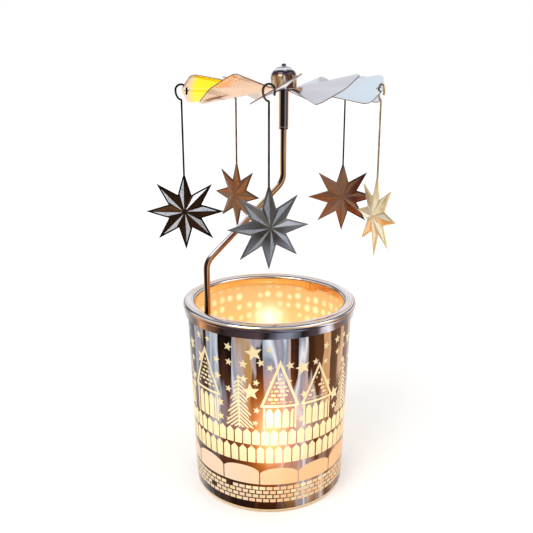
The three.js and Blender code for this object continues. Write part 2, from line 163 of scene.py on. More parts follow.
class RingSettings(bpy.types.PropertyGroup):
    """Sizes of the rolled ring on the rim."""

    sheet: length("Sheet", "Thickness of the rolled sheet", 0.6 * MM)
    edge: length("Edge", "How much the sheet's edges are rounded", 0.08 * MM)
    lip_width: length("Lip width", "Width of the bead over the rim", 5.1 * MM)
    lip_rise: length("Lip rise", "Height of the bead over its widest line", 1.7 * MM)
    curl_drop: length("Curl drop", "From the widest line to the outer skirt", 1.3 * MM)
    inner_skirt: length("Inner skirt", "Depth of the skirt inside the glass", 2.4 * MM)
    outer_gap: length("Outer gap", "Between the glass and the outer skirt", 0.3 * MM)
    tab_width: length("Tab width", "Width of the tab at the seam", 6.4 * MM)
    tab_drop: length("Tab drop", "How far the tab hangs down", 1.7 * MM)
    seam: length("Seam", "Width of the slit in the tab", 0.3 * MM)
    tab_azimuth: turn("Tab azimuth", "Where the seam of the ring lies", 53)


class ArmSettings(bpy.types.PropertyGroup):
    """Sizes of the bent rod and the bead of weld at its foot."""

    radius: length("Radius", "Radius of the rod", 1.25 * MM)
    edge: length("Edge", "How much the rod's edges are rounded", 0.06 * MM)
    lower_bend: length("Lower bend", "Height of the lower bend", 101.8 * MM)
    upper_bend: length("Upper bend", "Height of the upper bend", 131 * MM)
    bend_run: length("Bend run", "How much of each leg a bend takes", 3.2 * MM)
    needle: length("Needle", "Length of the ground point", 5 * MM)
    needle_tip: length("Needle tip", "Radius of the blunt tip", 0.2 * MM)
    weld_radius: length("Weld radius", "Radius of the bead of weld", 1.05 * MM)
    weld_half_height: length("Weld half height", "Half height of the bead", 1.3125 * MM)
    weld_inset: length("Weld inset", "From the inner skirt in to the bead's middle", 0.4 * MM)
    weld_drop: length("Weld drop", "From the ring's widest line down to the bead's middle", 1.1 * MM)


class FanSettings(bpy.types.PropertyGroup):
    """Sizes and colours of the stamped fan."""

    sheet: length("Sheet", "Thickness of the fan sheet", 0.4 * MM)
    edge: length("Edge", "How much the sheet's edges are rounded", 0.07 * MM)
    blades: count("Blades", "How many blades", 10, 3)
    charm_every: count("Charm step", "Blades for each charm", 2, 1)
    first_azimuth: turn("First azimuth", "Where the first blade points", 264)
    pitch: turn("Pitch", "How far a blade is twisted", 29.5)
    hole_radius: length("Hole radius", "Radius of the hole for the sleeve", 2.25 * MM)
    disc_radius: length("Disc radius", "Radius of the flat middle", 5.8 * MM)
    root_radius: length("Root radius", "Where the twisted neck ends", 10.5 * MM)
    root_half_width: length("Root half width", "Half width where the neck ends", 1.9 * MM)
    shoulder_radius: length("Shoulder radius", "Where the blade is widest", 36.6 * MM)
    shoulder_half_width: length("Shoulder half width", "Half width where the blade is widest", 10.8 * MM)
    tip_radius: length("Tip radius", "Where the blade ends", 39.6 * MM)
    shoulder_round: length("Shoulder round", "How much a shoulder is rounded", 2.6 * MM)
    tip_round: length("Tip round", "How much the tip is rounded", 1.8 * MM)
    hook_hole: length("Hook hole", "Radius of a hole for a hook", 1.1 * MM)
    hook_inset: length("Hook inset", "From the tip to the middle of a hook's hole", 2 * MM)
    # The blade colours are painted reflections: the tops show the room, the undersides painted candle light,
    # with painted glints.
    top: colour("Blade tops", "Tops of the blades", (214, 228, 240))
    mauve: colour("Mauve", "Second colour on the blades' tops", (190, 178, 188))
    under: colour("Undersides", "Candle-lit undersides", (255, 226, 202))
    amber: colour("Amber", "Deepest candle colour underneath", (234, 182, 134))
    lemon: colour("Lemon", "Brightest glint underneath", (255, 244, 40))
    pearl: colour("Pearl", "The blade underneath that mirrors the room", (214, 208, 212))


class HubSettings(bpy.types.PropertyGroup):
    """Sizes of the dome, the bearing in it and the sleeve below."""

    dome_wall: length("Dome wall", "Straight part of the dome", 3.8 * MM)
    dome_sheet: length("Dome sheet", "Thickness of the dome", 0.5 * MM)
    dome_edge: length("Dome edge", "How much the dome's edges are rounded", 0.06 * MM)
    nub_radius: length("Nub radius", "Radius of the riveted end on the dome", 0.9 * MM)
    nub_play: length("Nub play", "Between the riveted end and the dome", 0.1 * MM)
    nub_head: length("Nub head", "Height of the riveted end's crown", 0.5 * MM)
    nub_round: length("Nub round", "Height of the crown's last slope", 0.1 * MM)
    nub_dimple: length("Nub dimple", "Depth of the dimple in the crown", 0.08 * MM)
    plug_height: length("Plug height", "Height of the bearing's thick part", 3.2 * MM)
    pit_depth: length("Pit depth", "Depth of the pit for the rod's point", 1.7 * MM)
    pit_radius: length("Pit radius", "Radius of the pit's bottom", 0.5 * MM)
    pit_mouth: length("Pit mouth", "Radius of the pit's mouth", 1.1 * MM)
    small_edge: length("Small edge", "Rounding on the bearing and the sleeve", 0.05 * MM)
    sleeve_play: length("Sleeve play", "Between the rod and the sleeve", 0.3 * MM)
    sleeve_wall: length("Sleeve wall", "Thickness of the sleeve", 0.4 * MM)
    bevel_width: length("Bevel width", "Bevel on the sleeve's lower end, inwards", 0.1 * MM)
    bevel_height: length("Bevel height", "Bevel on the sleeve's lower end, upwards", 0.15 * MM)
    groove_height: length("Groove height", "From the sleeve's lower end to its groove", 0.9 * MM)
    groove_depth: length("Groove depth", "Depth of the groove, half of its width", 0.12 * MM)
    flange_height: length("Flange height", "Thickness of the flange under the sheet", 0.5 * MM)
    crimp_radius: length("Crimp radius", "Radius of the crimped end over the sheet", 2.7 * MM)
    crimp_play: length("Crimp play", "Between the sheet and the sleeve's flanges", 0.1 * MM)


class CharmSettings(bpy.types.PropertyGroup):
    """Sizes of the star charms."""

    sheet: length("Sheet", "Thickness of a charm", 0.5 * MM)
    edge: length("Edge", "How much the sheet's edges are rounded", 0.05 * MM)
    hook_band: length("Hook band", "Width of the hook's band", 0.73 * MM)
    hook_half_width: length("Hook half width", "Outer radius of the hook's top", 2.5 * MM)
    hook_tail: length("Hook tail", "From the hook's middle to its lowest edge", 3.8 * MM)
    hook_gap: length("Hook gap", "Width of the opening", 1.5 * MM)
    stem_width: length("Stem width", "Width of the stem", 0.7 * MM)
    stem_overlap: length("Stem overlap", "How far the stem runs into the star", 3 * MM)
    reach: length("Reach", "From the hook's middle to the star's", 46.2 * MM)
    radius: length("Star radius", "From the middle to a point", 15.4 * MM)
    relief: length("Relief", "How far the middle is pressed forward", 1.7 * MM)
    border: length("Border", "Plain edge round the star", 0.6 * MM)
    ridge_line: length("Ridge line", "Plain line round each sliver of sparkle", 0.12 * MM)
    sparkle_share: share("Sparkle share", "How much of a facet the sparkle covers", 0.68)
    valley_share: share("Valleys", "Radius of the valleys, as a share of the points'", 0.453)
    points: count("Points", "Points of a star", 8, 4)


class TealightSettings(bpy.types.PropertyGroup):
    """Sizes and colours of the tealight and its flame."""

    sheet: length("Foil", "Thickness of the aluminium cup", 0.4 * MM)
    rim_out: length("Rim", "How far the rim stands out", 0.5 * MM)
    rim_depth: length("Rim depth", "Height of the rolled rim", 0.8 * MM)
    rim_bevel: length("Rim bevel", "Bevel on the rim's upper edge", 0.2 * MM)
    foot_round: length("Foot round", "Radius of the cup's lower edge", 1.5 * MM)
    flutes: count("Flutes", "Fine pleats round the cup", 48, 8)
    flute_depth: length("Flute depth", "Depth of a pleat", 0.12 * MM)
    wax_bevel: length("Wax bevel", "Bevel on the wax's upper edge, inwards", 0.5 * MM)
    wax_bevel_drop: length("Wax bevel drop", "Bevel on the wax's upper edge, downwards", 0.4 * MM)
    ledge: length("Ledge", "From the wax's wall to the pool", 1.5 * MM)
    pool_depth: length("Pool depth", "How far the melted pool sinks", 0.7 * MM)
    recess_radius: length("Recess radius", "Room in the wax for the wick's foot", 6.6 * MM)
    recess_height: length("Recess height", "Height of the room for the wick's foot", 0.7 * MM)
    collar_radius: length("Collar radius", "Room in the wax for the foot's collar", 1.8 * MM)
    collar_height: length("Collar height", "Height of the room for the foot's collar", 4.3 * MM)
    foot_sheet: length("Foot sheet", "Thickness of the wick's foot", 0.4 * MM)
    foot_bore: length("Foot bore", "Radius of the hole in the wick's foot", 1.1 * MM)
    wick_radius: length("Wick radius", "Radius of the wick", 0.8 * MM)
    wick_play: length("Wick play", "Between the wick and the wax", 0.05 * MM)
    wick_straight: length("Straight wick", "How far the wick stands straight over the wax", 2.5 * MM)
    flame_height: length("Flame height", "From the flame's foot to its tip", 19 * MM)
    flame_radius: length("Flame radius", "Widest radius of the flame", 3.6 * MM)
    flame_drop: length("Flame drop", "From the wick's tip down to the flame's foot", 3.2 * MM)
    wax: colour("Wax", "Candle wax", (250, 232, 196))
    flame: colour("Flame", "Body of the flame", (255, 206, 112))


class StageSettings(bpy.types.PropertyGroup):
    """The studio: where the camera stands, how bright the room is, and the floor."""

    camera_distance: length("Distance", "From the object's axis to the camera", 258.7 * MM)
    camera_side: length("Side", "How far the camera stands to the left", 1.2 * MM)
    camera_height: length("Height", "Height of the camera", 167.2 * MM)
    camera_pitch: turn("Pitch", "How far the camera looks down", 15.5)
    focal_length: FloatProperty(
        name="Focal length", description="Lens of the camera in millimetres", default=43.46, unit="CAMERA"
    )
    fill: share("Fill", "Brightness of the white room on the object", 0.8)
    floor: colour("Floor", "Pale floor", (244, 243, 242))
    floor_radius: length("Floor radius", "Radius of the floor", 12.0)
    floor_drop: length("Floor drop", "How far the floor lies below the glass", 0.02 * MM)


SETTINGS = {
    "carousel_cup": CupSettings,
    "carousel_ring": RingSettings,
    "carousel_arm": ArmSettings,
    "carousel_fan": FanSettings,
    "carousel_hub": HubSettings,
    "carousel_charm": CharmSettings,
    "carousel_tealight": TealightSettings,
    "carousel_stage": StageSettings,
}


# Modelling by hand: each helper works on the piece that is being made


def select_only(*objects):
    """Leaves edit mode, deselects everything and selects these objects. The last one is active."""
    if bpy.context.mode != "OBJECT":
        bpy.ops.object.mode_set(mode="OBJECT")
    bpy.ops.object.select_all(action="DESELECT")
    for obj in objects:
        obj.select_set(True)
        bpy.context.view_layer.objects.active = obj


def named(name):
    """Names the new primitive and starts to edit it."""
    obj = bpy.context.object
    obj.name = name
    obj.data.name = name
    bpy.ops.object.mode_set(mode="EDIT")
    bpy.ops.mesh.select_mode(type="VERT")
    return obj


def start_point(name, place):
    """Starts a piece as a single corner, ready to be drawn on from there."""
    select_only()
    bpy.ops.mesh.primitive_plane_add(size=MM, location=place)
    obj = named(name)
    bpy.ops.mesh.merge(type="CENTER")
    return obj


def select_whole():
    """Selects the whole mesh that is being edited."""
    bpy.ops.mesh.select_all(action="SELECT")


def select_where(obj, kind, test):
    """Selects the corners, edges or faces whose middle passes a test."""
    bpy.ops.mesh.select_mode(type=kind)
    bpy.ops.mesh.select_all(action="DESELECT")
    mesh = bmesh.from_edit_mesh(obj.data)
    place = obj.matrix_world
    if kind == "VERT":
        for corner in mesh.verts:
            corner.select_set(test(place @ corner.co))
    elif kind == "EDGE":
        for edge in mesh.edges:
            edge.select_set(test(place @ ((edge.verts[0].co + edge.verts[1].co) / 2)))
    else:
        for face in mesh.faces:
            face.select_set(test(place @ face.calc_center_median()))
    mesh.select_flush_mode()
    bmesh.update_edit_mesh(obj.data)


def draw_to(step):
    """Extrudes what is selected by a step."""
    bpy.ops.mesh.extrude_region_move(TRANSFORM_OT_translate={"value": step})


def rotate(angle, axis, centre):
    """Turns what is selected about a line through a point.

    Without a window the operator turns the other way, hence the sign.
    """
    bpy.ops.transform.rotate(value=-angle, orient_axis=axis, center_override=centre)


def stretch(shares, centre):
    """Scales what is selected about a point."""
    bpy.ops.transform.resize(value=shares, center_override=centre)


def close_skin():
    """Merges doubles, turns the faces outwards and ends editing."""
    select_whole()
    bpy.ops.mesh.remove_doubles(threshold=WELD)
    bpy.ops.mesh.normals_make_consistent(inside=False)
    bpy.ops.object.mode_set(mode="OBJECT")


def arc(centre, radii, start, end, steps):
    """Points of an ellipse's arc in a (radius, height) profile, between two angles in degrees."""
    points = []
    for i in range(steps + 1):
        angle = math.radians(start + (end - start) * i / steps)
        points.append((centre[0] + radii[0] * math.cos(angle), centre[1] + radii[1] * math.sin(angle)))
    return points


def turned(name, centre, profile, steps=ROUND_STEPS):
    """A piece from the lathe: a (radius, height) profile drawn corner by corner and spun."""
    radius, height = profile[0]
    obj = start_point(name, (centre.x + radius, centre.y, height))
    for here, there in zip(profile, profile[1:]):
        draw_to((there[0] - here[0], 0, there[1] - here[1]))
    select_whole()
    bpy.ops.mesh.spin(steps=steps, angle=math.tau, center=(centre.x, centre.y, 0), axis=(0, 0, 1))
    close_skin()
    return obj


def apply_modifier(obj, kind, **values):
    """Adds a modifier, sets it and applies it."""
    select_only(obj)
    bpy.ops.object.modifier_add(type=kind)
    modifier = obj.modifiers[-1]
    for key, value in values.items():
        setattr(modifier, key, value)
    bpy.ops.object.modifier_apply(modifier=modifier.name)


def soften(obj, width, angle=40):
    """Rounds the sharp edges of a finished shape a little, as a press or a polish leaves them."""
    apply_modifier(
        obj,
        "BEVEL",
        width=width,
        segments=2,
        limit_method="ANGLE",
        angle_limit=math.radians(angle),
        use_clamp_overlap=True,
    )


def combine(obj, tool, operation):
    """Joins or cuts a piece with a tool shape, which is then gone."""
    apply_modifier(obj, "BOOLEAN", object=tool, operation=operation, solver="EXACT")
    bpy.data.objects.remove(tool)


def copy_of(obj, name):
    """A copy with its own mesh."""
    select_only(obj)
    bpy.ops.object.duplicate(linked=False)
    twin = bpy.context.object
    twin.name = name
    twin.data.name = name
    return twin


def joined(objects):
    """One object made of several. It keeps the name of the last one."""
    select_only(*objects)
    bpy.ops.object.join()
    return bpy.context.object


def finish_piece(obj, body, nodes, smooth=35):
    """Puts a finished piece's place into its mesh, smooths it and hangs it on its body of the frame.

    Its faces remember the way they were made to face, for the painted reflection bands on metal.
    """
    select_only(obj)
    bpy.ops.object.transform_apply(location=True, rotation=True, scale=True)
    bpy.ops.object.shade_smooth_by_angle(angle=math.radians(smooth))
    mesh = obj.data
    directions = mesh.attributes.new("facing", "FLOAT_VECTOR", "CORNER")
    directions.data.foreach_set("vector", [part for normal in mesh.corner_normals for part in normal.vector])
    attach(obj, body)
    if nodes:
        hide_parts(*nodes)


def dress(obj, finishes, choose=None):
    """Gives a piece its materials. choose says which one a face gets, by its middle and normal."""
    obj.data.materials.clear()
    for finish in finishes:
        obj.data.materials.append(finish)
    if choose is not None:
        for face in obj.data.polygons:
            face.material_index = choose(obj.matrix_world @ face.center, face.normal)


# Node trees: wires that reckon like numbers, groups and materials


class Wire:
    """One value in a node tree. Sums, products and comparisons of wires become Math nodes."""

    def __init__(self, tree, socket):
        self.tree = tree
        self.socket = socket

    def math(self, operation, *others, clamp=False):
        node = self.tree.nodes.new("ShaderNodeMath")
        node.operation = operation
        node.use_clamp = clamp
        for slot, value in zip(node.inputs, (self, *others)):
            feed(slot, value)
        return Wire(self.tree, node.outputs[0])

    def __add__(self, other):
        return self.math("ADD", other)

    def __radd__(self, other):
        return self.math("ADD", other)

    def __sub__(self, other):
        return self.math("SUBTRACT", other)

    def __rsub__(self, other):
        return self.math("MULTIPLY_ADD", -1.0, other)

    def __mul__(self, other):
        return self.math("MULTIPLY", other)

    def __truediv__(self, other):
        return self.math("DIVIDE", other)

    def below(self, other, softness):
        """1 where this is less than the other value, 0 where it is more, with a soft edge between."""
        return ((other - self) / softness + 0.5).clamped()

    def above(self, other, softness):
        return ((self - other) / softness + 0.5).clamped()

    def clamped(self):
        return self.math("ADD", 0.0, clamp=True)

    def split(self):
        """The three parts of a vector."""
        node = self.tree.nodes.new("ShaderNodeSeparateXYZ")
        feed(node.inputs[0], self)
        return [Wire(self.tree, output) for output in node.outputs]


def feed(slot, value):
    """Links a wire to a socket, or writes a constant there."""
    if isinstance(value, Wire):
        value.tree.links.new(value.socket, slot)
    else:
        slot.default_value = value


def either(first, *others):
    """The largest of several masks."""
    for other in others:
        first = first.math("MAXIMUM", other)
    return first


def both(first, *others):
    """What lies in all of several masks."""
    for other in others:
        first = first * other
    return first


def squares(first, *others):
    """The squares of several values, added up."""
    total = first * first
    for other in others:
        total = total + other * other
    return total


def span(*sides):
    """How long a step is, by its sides."""
    return squares(*sides).math("SQRT")


def bell(*offsets):
    """1 in the middle, half at an offset of 1, and fading out beyond."""
    return (squares(*offsets) * -0.7).math("EXPONENT")


def vector(tree, x, y, z):
    """A vector of three values."""
    node = tree.nodes.new("ShaderNodeCombineXYZ")
    for slot, value in zip(node.inputs, (x, y, z)):
        feed(slot, value)
    return Wire(tree, node.outputs[0])


def scaled(wire, shares):
    """A vector stretched along its three axes."""
    node = wire.tree.nodes.new("ShaderNodeVectorMath")
    node.operation = "MULTIPLY"
    feed(node.inputs[0], wire)
    node.inputs[1].default_value = shares
    return Wire(wire.tree, node.outputs[0])


def chances(tree, x, y, seed):
    """Four random numbers that belong to one cell."""
    node = tree.nodes.new("ShaderNodeTexWhiteNoise")
    node.noise_dimensions = "3D"
    feed(node.inputs["Vector"], vector(tree, x, y, seed))
    parts = tree.nodes.new("ShaderNodeSeparateColor")
    tree.links.new(node.outputs["Color"], parts.inputs[0])
    return [Wire(tree, node.outputs["Value"]), *[Wire(tree, output) for output in parts.outputs]]


def noise(place, fineness, detail=2.0, roughness=0.5, distortion=0.0):
    """Smooth noise from 0 to 1 at a place."""
    node = place.tree.nodes.new("ShaderNodeTexNoise")
    feed(node.inputs["Vector"], place)
    feed(node.inputs["Scale"], fineness)
    feed(node.inputs["Detail"], detail)
    feed(node.inputs["Roughness"], roughness)
    feed(node.inputs["Distortion"], distortion)
    return Wire(place.tree, node.outputs["Fac"])


COLOUR_A, COLOUR_B = 6, 7  # where a Mix node has its two colours


def blended(share, low, high):
    """A colour between two others, by a share."""
    tree = share.tree
    node = tree.nodes.new("ShaderNodeMix")
    node.data_type = "RGBA"
    feed(node.inputs[0], share)
    for place, value in ((COLOUR_A, low), (COLOUR_B, high)):
        feed(node.inputs[place], value if isinstance(value, Wire) else (*value, 1.0))
    return Wire(tree, node.outputs[2])


def bands(*row):
    """The stops of a colour ramp, from a row of place, colour, place, colour and so on."""
    return list(zip(row[::2], row[1::2]))


def ramped(share, stops):
    """A colour from a row of (place, colour) stops."""
    node = share.tree.nodes.new("ShaderNodeValToRGB")
    ramp = node.color_ramp
    while len(ramp.elements) < len(stops):
        ramp.elements.new(0.5)
    for element, (place, shade) in zip(ramp.elements, stops):
        element.position = place
        element.color = (*shade, 1.0)
    feed(node.inputs[0], share)
    return Wire(share.tree, node.outputs[0])


def bumped(height, distance):
    """A normal from a height, for a material's Normal socket."""
    node = height.tree.nodes.new("ShaderNodeBump")
    node.inputs["Distance"].default_value = distance
    feed(node.inputs["Height"], height)
    return Wire(height.tree, node.outputs[0])


def facing(tree):
    """Which way the surface faced when the piece was made."""
    node = tree.nodes.new("ShaderNodeAttribute")
    node.attribute_name = "facing"
    return Wire(tree, node.outputs["Vector"])


def new_group(name, inputs, outputs):
    """A node group with named sockets. Returns it, its inputs as wires, and its output node."""
    group = bpy.data.node_groups.new(name, "ShaderNodeTree")
    kinds = {"vector": "NodeSocketVector", "value": "NodeSocketFloat", "colour": "NodeSocketColor"}
    for socket, kind in inputs:
        group.interface.new_socket(name=socket, in_out="INPUT", socket_type=kinds[kind])
    for socket, kind in outputs:
        group.interface.new_socket(name=socket, in_out="OUTPUT", socket_type=kinds[kind])
    start = group.nodes.new("NodeGroupInput")
    end = group.nodes.new("NodeGroupOutput")
    wires = [Wire(group, start.outputs[socket]) for socket, kind in inputs]
    return group, wires, end


def placed(tree, group, *values):
    """Places a group in a material and returns its outputs as wires."""
    node = tree.nodes.new("ShaderNodeGroup")
    node.node_tree = group
    for slot, value in zip(node.inputs, values):
        feed(slot, value)
    return [Wire(tree, output) for output in node.outputs]


def new_material(name, **constants):
    """A material with constants on its shader.

    Returns it, a function that feeds its sockets, and where a point of the piece lies.
    """
    finish = bpy.data.materials.new(name)
    finish.use_nodes = True
    shader = finish.node_tree.nodes["Principled BSDF"]
    for socket, value in constants.items():
        shader.inputs[socket.replace("_", " ")].default_value = value
    coordinates = finish.node_tree.nodes.new("ShaderNodeTexCoord")

    def give(socket, value):
        feed(shader.inputs[socket], value)

    return finish, give, Wire(finish.node_tree, coordinates.outputs["Object"])


# Shared effects


def shared(name, make, place, *values):
    """Places the shared group of this name, made when it is first needed, and returns its outputs."""
    if name not in bpy.data.node_groups:
        make(name)
    return placed(place.tree, bpy.data.node_groups[name], place, *values)


def handling(place):
    """Faint smudges and fine scratches of something that is picked up to be lit."""
    return shared("Handling", handling_group, place)


def handling_group(name):
    """Clouds for the smudges and long fine grain for the scratches."""
    group, (place,), end = new_group(
        name, [("Vector", "vector")], [("Smudge", "value"), ("Scratch", "value")]
    )
    feed(end.inputs["Smudge"], noise(place, 90.0, 3.0, 0.6))
    feed(end.inputs["Scratch"], noise(scaled(place, (1.0, 1.0, 0.12)), 2600.0, 2.0, 0.6))


def polish(place, direction, seed):
    """Where painted reflections of a room fall on bright metal: bands round its upright parts and rings on
    its curved ones.
    """
    return shared("Painted reflections", painted_reflection_group, place, direction, seed)


def painted_reflection_group(name):
    """Reckons the bands from the way the surface faced, and lets them waver a little."""
    group, (place, direction, seed), end = new_group(
        name,
        [("Vector", "vector"), ("Facing", "vector"), ("Seed", "value")],
        [("Round", "value"), ("Rise", "value")],
    )
    across, along, up = direction.split()
    waver = noise(vector(group, across, along, seed), 2.1, 2.0) - 0.5
    wander = noise(place, 60.0, 1.0) - 0.5
    half_turns = along.math("ARCTAN2", across) / math.pi
    bands_round = half_turns + waver * 0.22 + wander * 0.06 + up * 0.12 + 2.0
    feed(end.inputs["Round"], bands_round.math("FRACT"))
    feed(end.inputs["Rise"], (up + waver * 0.3 + wander * 0.1).clamped())


def etched_print(place):
    """The masks of the print: its cream lines, its peach ones, and the painted light that the stars throw on
    the wall across.
    """
    return shared("Etched print", print_group, place)


def print_group(name):
    """Stars over gabled houses, a fence, snow drifts and a low brick wall."""
    group, (place,), end = new_group(
        name, [("Vector", "vector")], [("Cream", "value"), ("Peach", "value"), ("Thrown star light", "value")]
    )
    x, y, z = place.split()
    around = (y.math("ARCTAN2", x) / math.tau + 0.5) * GIRTH
    height = z / MM
    stars = sky(around, height)
    lines, shape = village(around, height)
    open_sky = (1.0 - shape) * height.above(FENCE_TOP + 0.6, 0.4)
    behind_fence = height.above(FENCE_TOP + 0.3, SOFT)
    bright_bricks, warm_bricks = bricks(around, height)
    houses_and_fence = either(lines * behind_fence, pickets(around, height))
    feed(end.inputs["Cream"], either(stars * open_sky, houses_and_fence, bright_bricks))
    feed(end.inputs["Peach"], either(drifts(around, height), warm_bricks))
    feed(end.inputs["Thrown star light"], blurred_star_light(around, height))


# The print on the glass: lengths are in millimetres, round the glass and up its wall


GIRTH = math.tau * 33.5  # round the glass, halfway up
SOFT = 0.14  # width of the soft edge of an etched line
STAR_EDGE = 2.404  # slope of a five-pointed star's edge, which sets how slender its points are
SKY_LOW = 26.4
SMALL_ROW = 6.1
LARGE_ROW = 16.27
SKY_HIGH = SKY_LOW + 3 * LARGE_ROW
PLOT = GIRTH / 13  # a house, a fir tree or a snow drift stands on each
WINDOW = GIRTH / 66
FENCE_FOOT = 23.4
FENCE_MIDDLE = 31.0
FENCE_TOP = 38.4
BOARD = GIRTH / 58
DRIFT_FOOT = 13.4
BRICK = GIRTH / 72
BRICK_COURSE = 1.9
BRICKS_LOW = 4.9
BRICKS_HIGH = 12.5
TILE = 2.3
TILE_ROW = 1.75


class StarLayer:
    """One layer of etched stars: a cell for each, in columns round the glass and rows up the wall."""

    def __init__(self, columns, row, smallest, largest, margin, share, seed):
        self.width = GIRTH / columns
        self.row = row
        self.smallest = smallest
        self.largest = largest
        self.margin = margin
        self.share = share
        self.seed = seed

    def at(self, around, height):
        """The star of the cell at a place: the way to its middle, its radius and whether it is there."""
        column = (around / self.width).math("FLOOR")
        rank = ((height - SKY_LOW) / self.row).math("FLOOR")
        presence, first, second, third = chances(around.tree, column, rank, self.seed)
        radius = first * (self.largest - self.smallest) + self.smallest
        free = (self.margin + radius) * -2.0
        right = (column + 0.5) * self.width + (second - 0.5) * (free + self.width)
        up = (rank + 0.5) * self.row + SKY_LOW + (third - 0.5) * (free + self.row)
        return right, up, radius, presence.math("LESS_THAN", self.share), second


def star_shape(around, height, star):
    """A sharp five-pointed star."""
    right, up, radius, shown, chance = star
    across = around - right
    rise = height - up
    tilt = (chance - 0.5) * 0.7
    angle = across.math("ARCTAN2", rise) + tilt
    fold = angle.math("WRAP", math.radians(36), math.radians(-36)).math("ABSOLUTE")
    edge = span(across, rise) * (fold.math("COSINE") + fold.math("SINE") * STAR_EDGE)
    return edge.below(radius, SOFT * 2) * shown


def sky(around, height):
    """Small stars everywhere, and fewer large ones that keep the small ones off."""
    small = StarLayer(columns=37, row=SMALL_ROW, smallest=1.25, largest=2.1, margin=0.12, share=0.8, seed=3.0)
    large = StarLayer(columns=12, row=LARGE_ROW, smallest=3.0, largest=5.6, margin=0.6, share=0.45, seed=11.0)
    right, up, radius, shown, chance = small.at(around, height)
    big_right, big_up, big_radius, big_shown, big_chance = large.at(right, up)
    apart = span(right - big_right, up - big_up)
    hidden = apart.math("LESS_THAN", big_radius + radius * 0.6) * big_shown
    few = star_shape(around, height, large.at(around, height))
    many = star_shape(around, height, (right, up, radius, shown * (1.0 - hidden), chance))
    within = height.above(SKY_LOW, SOFT) * height.below(SKY_HIGH, SOFT)
    return either(few, many) * within


def blurred_star_light(around, height):
    """Soft round painted images of light that the stars throw on the frosted wall across."""
    layer = StarLayer(
        columns=42, row=SMALL_ROW * 0.8, smallest=1.5, largest=2.4, margin=0.0, share=0.92, seed=51.0
    )
    right, up, radius, shown, chance = layer.at(around, height)
    apart = span(around - right, height - up)
    fade = height.below(SKY_HIGH + 1.0, 3.0)
    return (apart / radius).below(0.7, 0.6) * shown * (chance * 0.4 + 0.6) * fade


def row_of(coordinate, width):
    """Distance to the middle of the nearest cell in a row of cells, and the number of the cell."""
    number = (coordinate / width).math("FLOOR")
    return (coordinate - (number + 0.5) * width).math("ABSOLUTE"), number


def boards(around, height, low, high):
    """One row of pointed boards right round the glass."""
    side = row_of(around, BOARD)[0]
    top = (side * 1.1 + height).below(high, SOFT)
    return both(side.below(1.52, SOFT), top, height.above(low, SOFT))


def pickets(around, height):
    """A fence of two rows of pointed boards, the upper row shifted by half a board."""
    front = boards(around, height, FENCE_FOOT, FENCE_MIDDLE)
    back = boards(around + BOARD / 2, height, FENCE_MIDDLE + 0.5, FENCE_TOP)
    return either(front, back)


def shingles(around, height):
    """Rows of short dashes, each row shifted by half a dash."""
    level, number = row_of(height, TILE_ROW)
    shift = number.math("MODULO", 2.0) * (TILE / 2)
    side, dash = row_of(around + shift, TILE)
    chance = chances(around.tree, number, dash, 5.0)[0]
    return both(side.below(0.8, SOFT), level.below(0.42, SOFT), chance.math("LESS_THAN", 0.85))


def house(around, height, side, half, eaves, rise):
    """A gabled house with rafters, tiles, posts and tall arched windows: its lines and its shape."""
    roof_half = half + 1.1
    slope = side / roof_half + (height - eaves) / rise - 1.0
    roof = both(slope.below(0.0, 0.02), height.above(eaves, SOFT))
    rafters = both(roof, slope.above(-0.14, 0.02))
    purlin = both((height - eaves).math("ABSOLUTE").below(0.45, SOFT), side.below(roof_half, SOFT))
    tiles = both(shingles(around, height), roof, slope.below(-0.24, 0.03), height.above(eaves + 1.4, SOFT))
    wall = both(side.below(half, SOFT), height.below(eaves, SOFT))
    posts = both(wall, side.above(half - 0.7, SOFT))
    glazing = row_of(around, WINDOW)[0]
    arch = glazing * glazing * 1.1 + height
    tall = both(arch.below(eaves - 1.2, SOFT), height.above(FENCE_TOP + 0.8, SOFT))
    panes = both(wall, glazing.below(1.3, SOFT), tall, side.below(half - 1.2, SOFT))
    return either(rafters, purlin, tiles, posts, panes), either(roof, wall)


def fir(height, side, tip):
    """A fir tree with its branches in tiers: its lines and its shape."""
    tier = (tip - height) / 5.6
    flare = tier.math("FLOOR") * 1.15 + tier.math("FRACT") * 2.5 + 0.2
    branches = both(side.below(flare.math("MINIMUM", 6.4), SOFT), height.below(tip, SOFT))
    needles = ((side * 0.9 + height) / 1.7).math("FRACT").above(0.46, 0.1)
    return both(branches, either(needles, side.below(0.3, SOFT))), branches


def village(around, height):
    """Houses with fir trees between them, each of its own size: their lines and their shape."""
    side, number = row_of(around, PLOT)
    kind, first, second, third = chances(around.tree, number, 2.0, 21.0)
    half = first * 0.9 + 6.0
    eaves = second * 5.0 + 47.5
    house_lines, house_shape = house(around, height, side, half, eaves, third * 8.0 + 14.0)
    fir_lines, fir_shape = fir(height, side, first * 8.0 + 54.0)
    is_house = kind.math("LESS_THAN", 0.74)
    is_fir = 1.0 - is_house
    return house_lines * is_house + fir_lines * is_fir, house_shape * is_house + fir_shape * is_fir


def drifts(around, height):
    """Round snow drifts side by side below the fence."""
    side, number = row_of(around, PLOT)
    low = chances(around.tree, number, 9.0, 31.0)[0]
    top = (1.0 - (side / 8.1) * (side / 8.1)).math("MAXIMUM", 0.0).math("SQRT") * 3.4 + low * 1.6 + 17.6
    return both(height.below(top, SOFT), side.below(7.85, SOFT), height.above(DRIFT_FOOT, SOFT))


def bricks(around, height):
    """A low wall of bricks. Returns the bright ones and the warm ones."""
    level, course = row_of(height - BRICKS_LOW, BRICK_COURSE)
    shift = course.math("MODULO", 2.0) * 1.46
    side, number = row_of(around + shift, BRICK)
    face = both(level.below(0.72, SOFT), side.below(1.2, SOFT))
    face = both(face, height.above(BRICKS_LOW, SOFT), height.below(BRICKS_HIGH, SOFT))
    chance = chances(around.tree, number, course, 41.0)[0]
    return both(face, chance.math("LESS_THAN", 0.4)), both(face, chance.math("GREATER_THAN", 0.46))


# Finishes of the glass


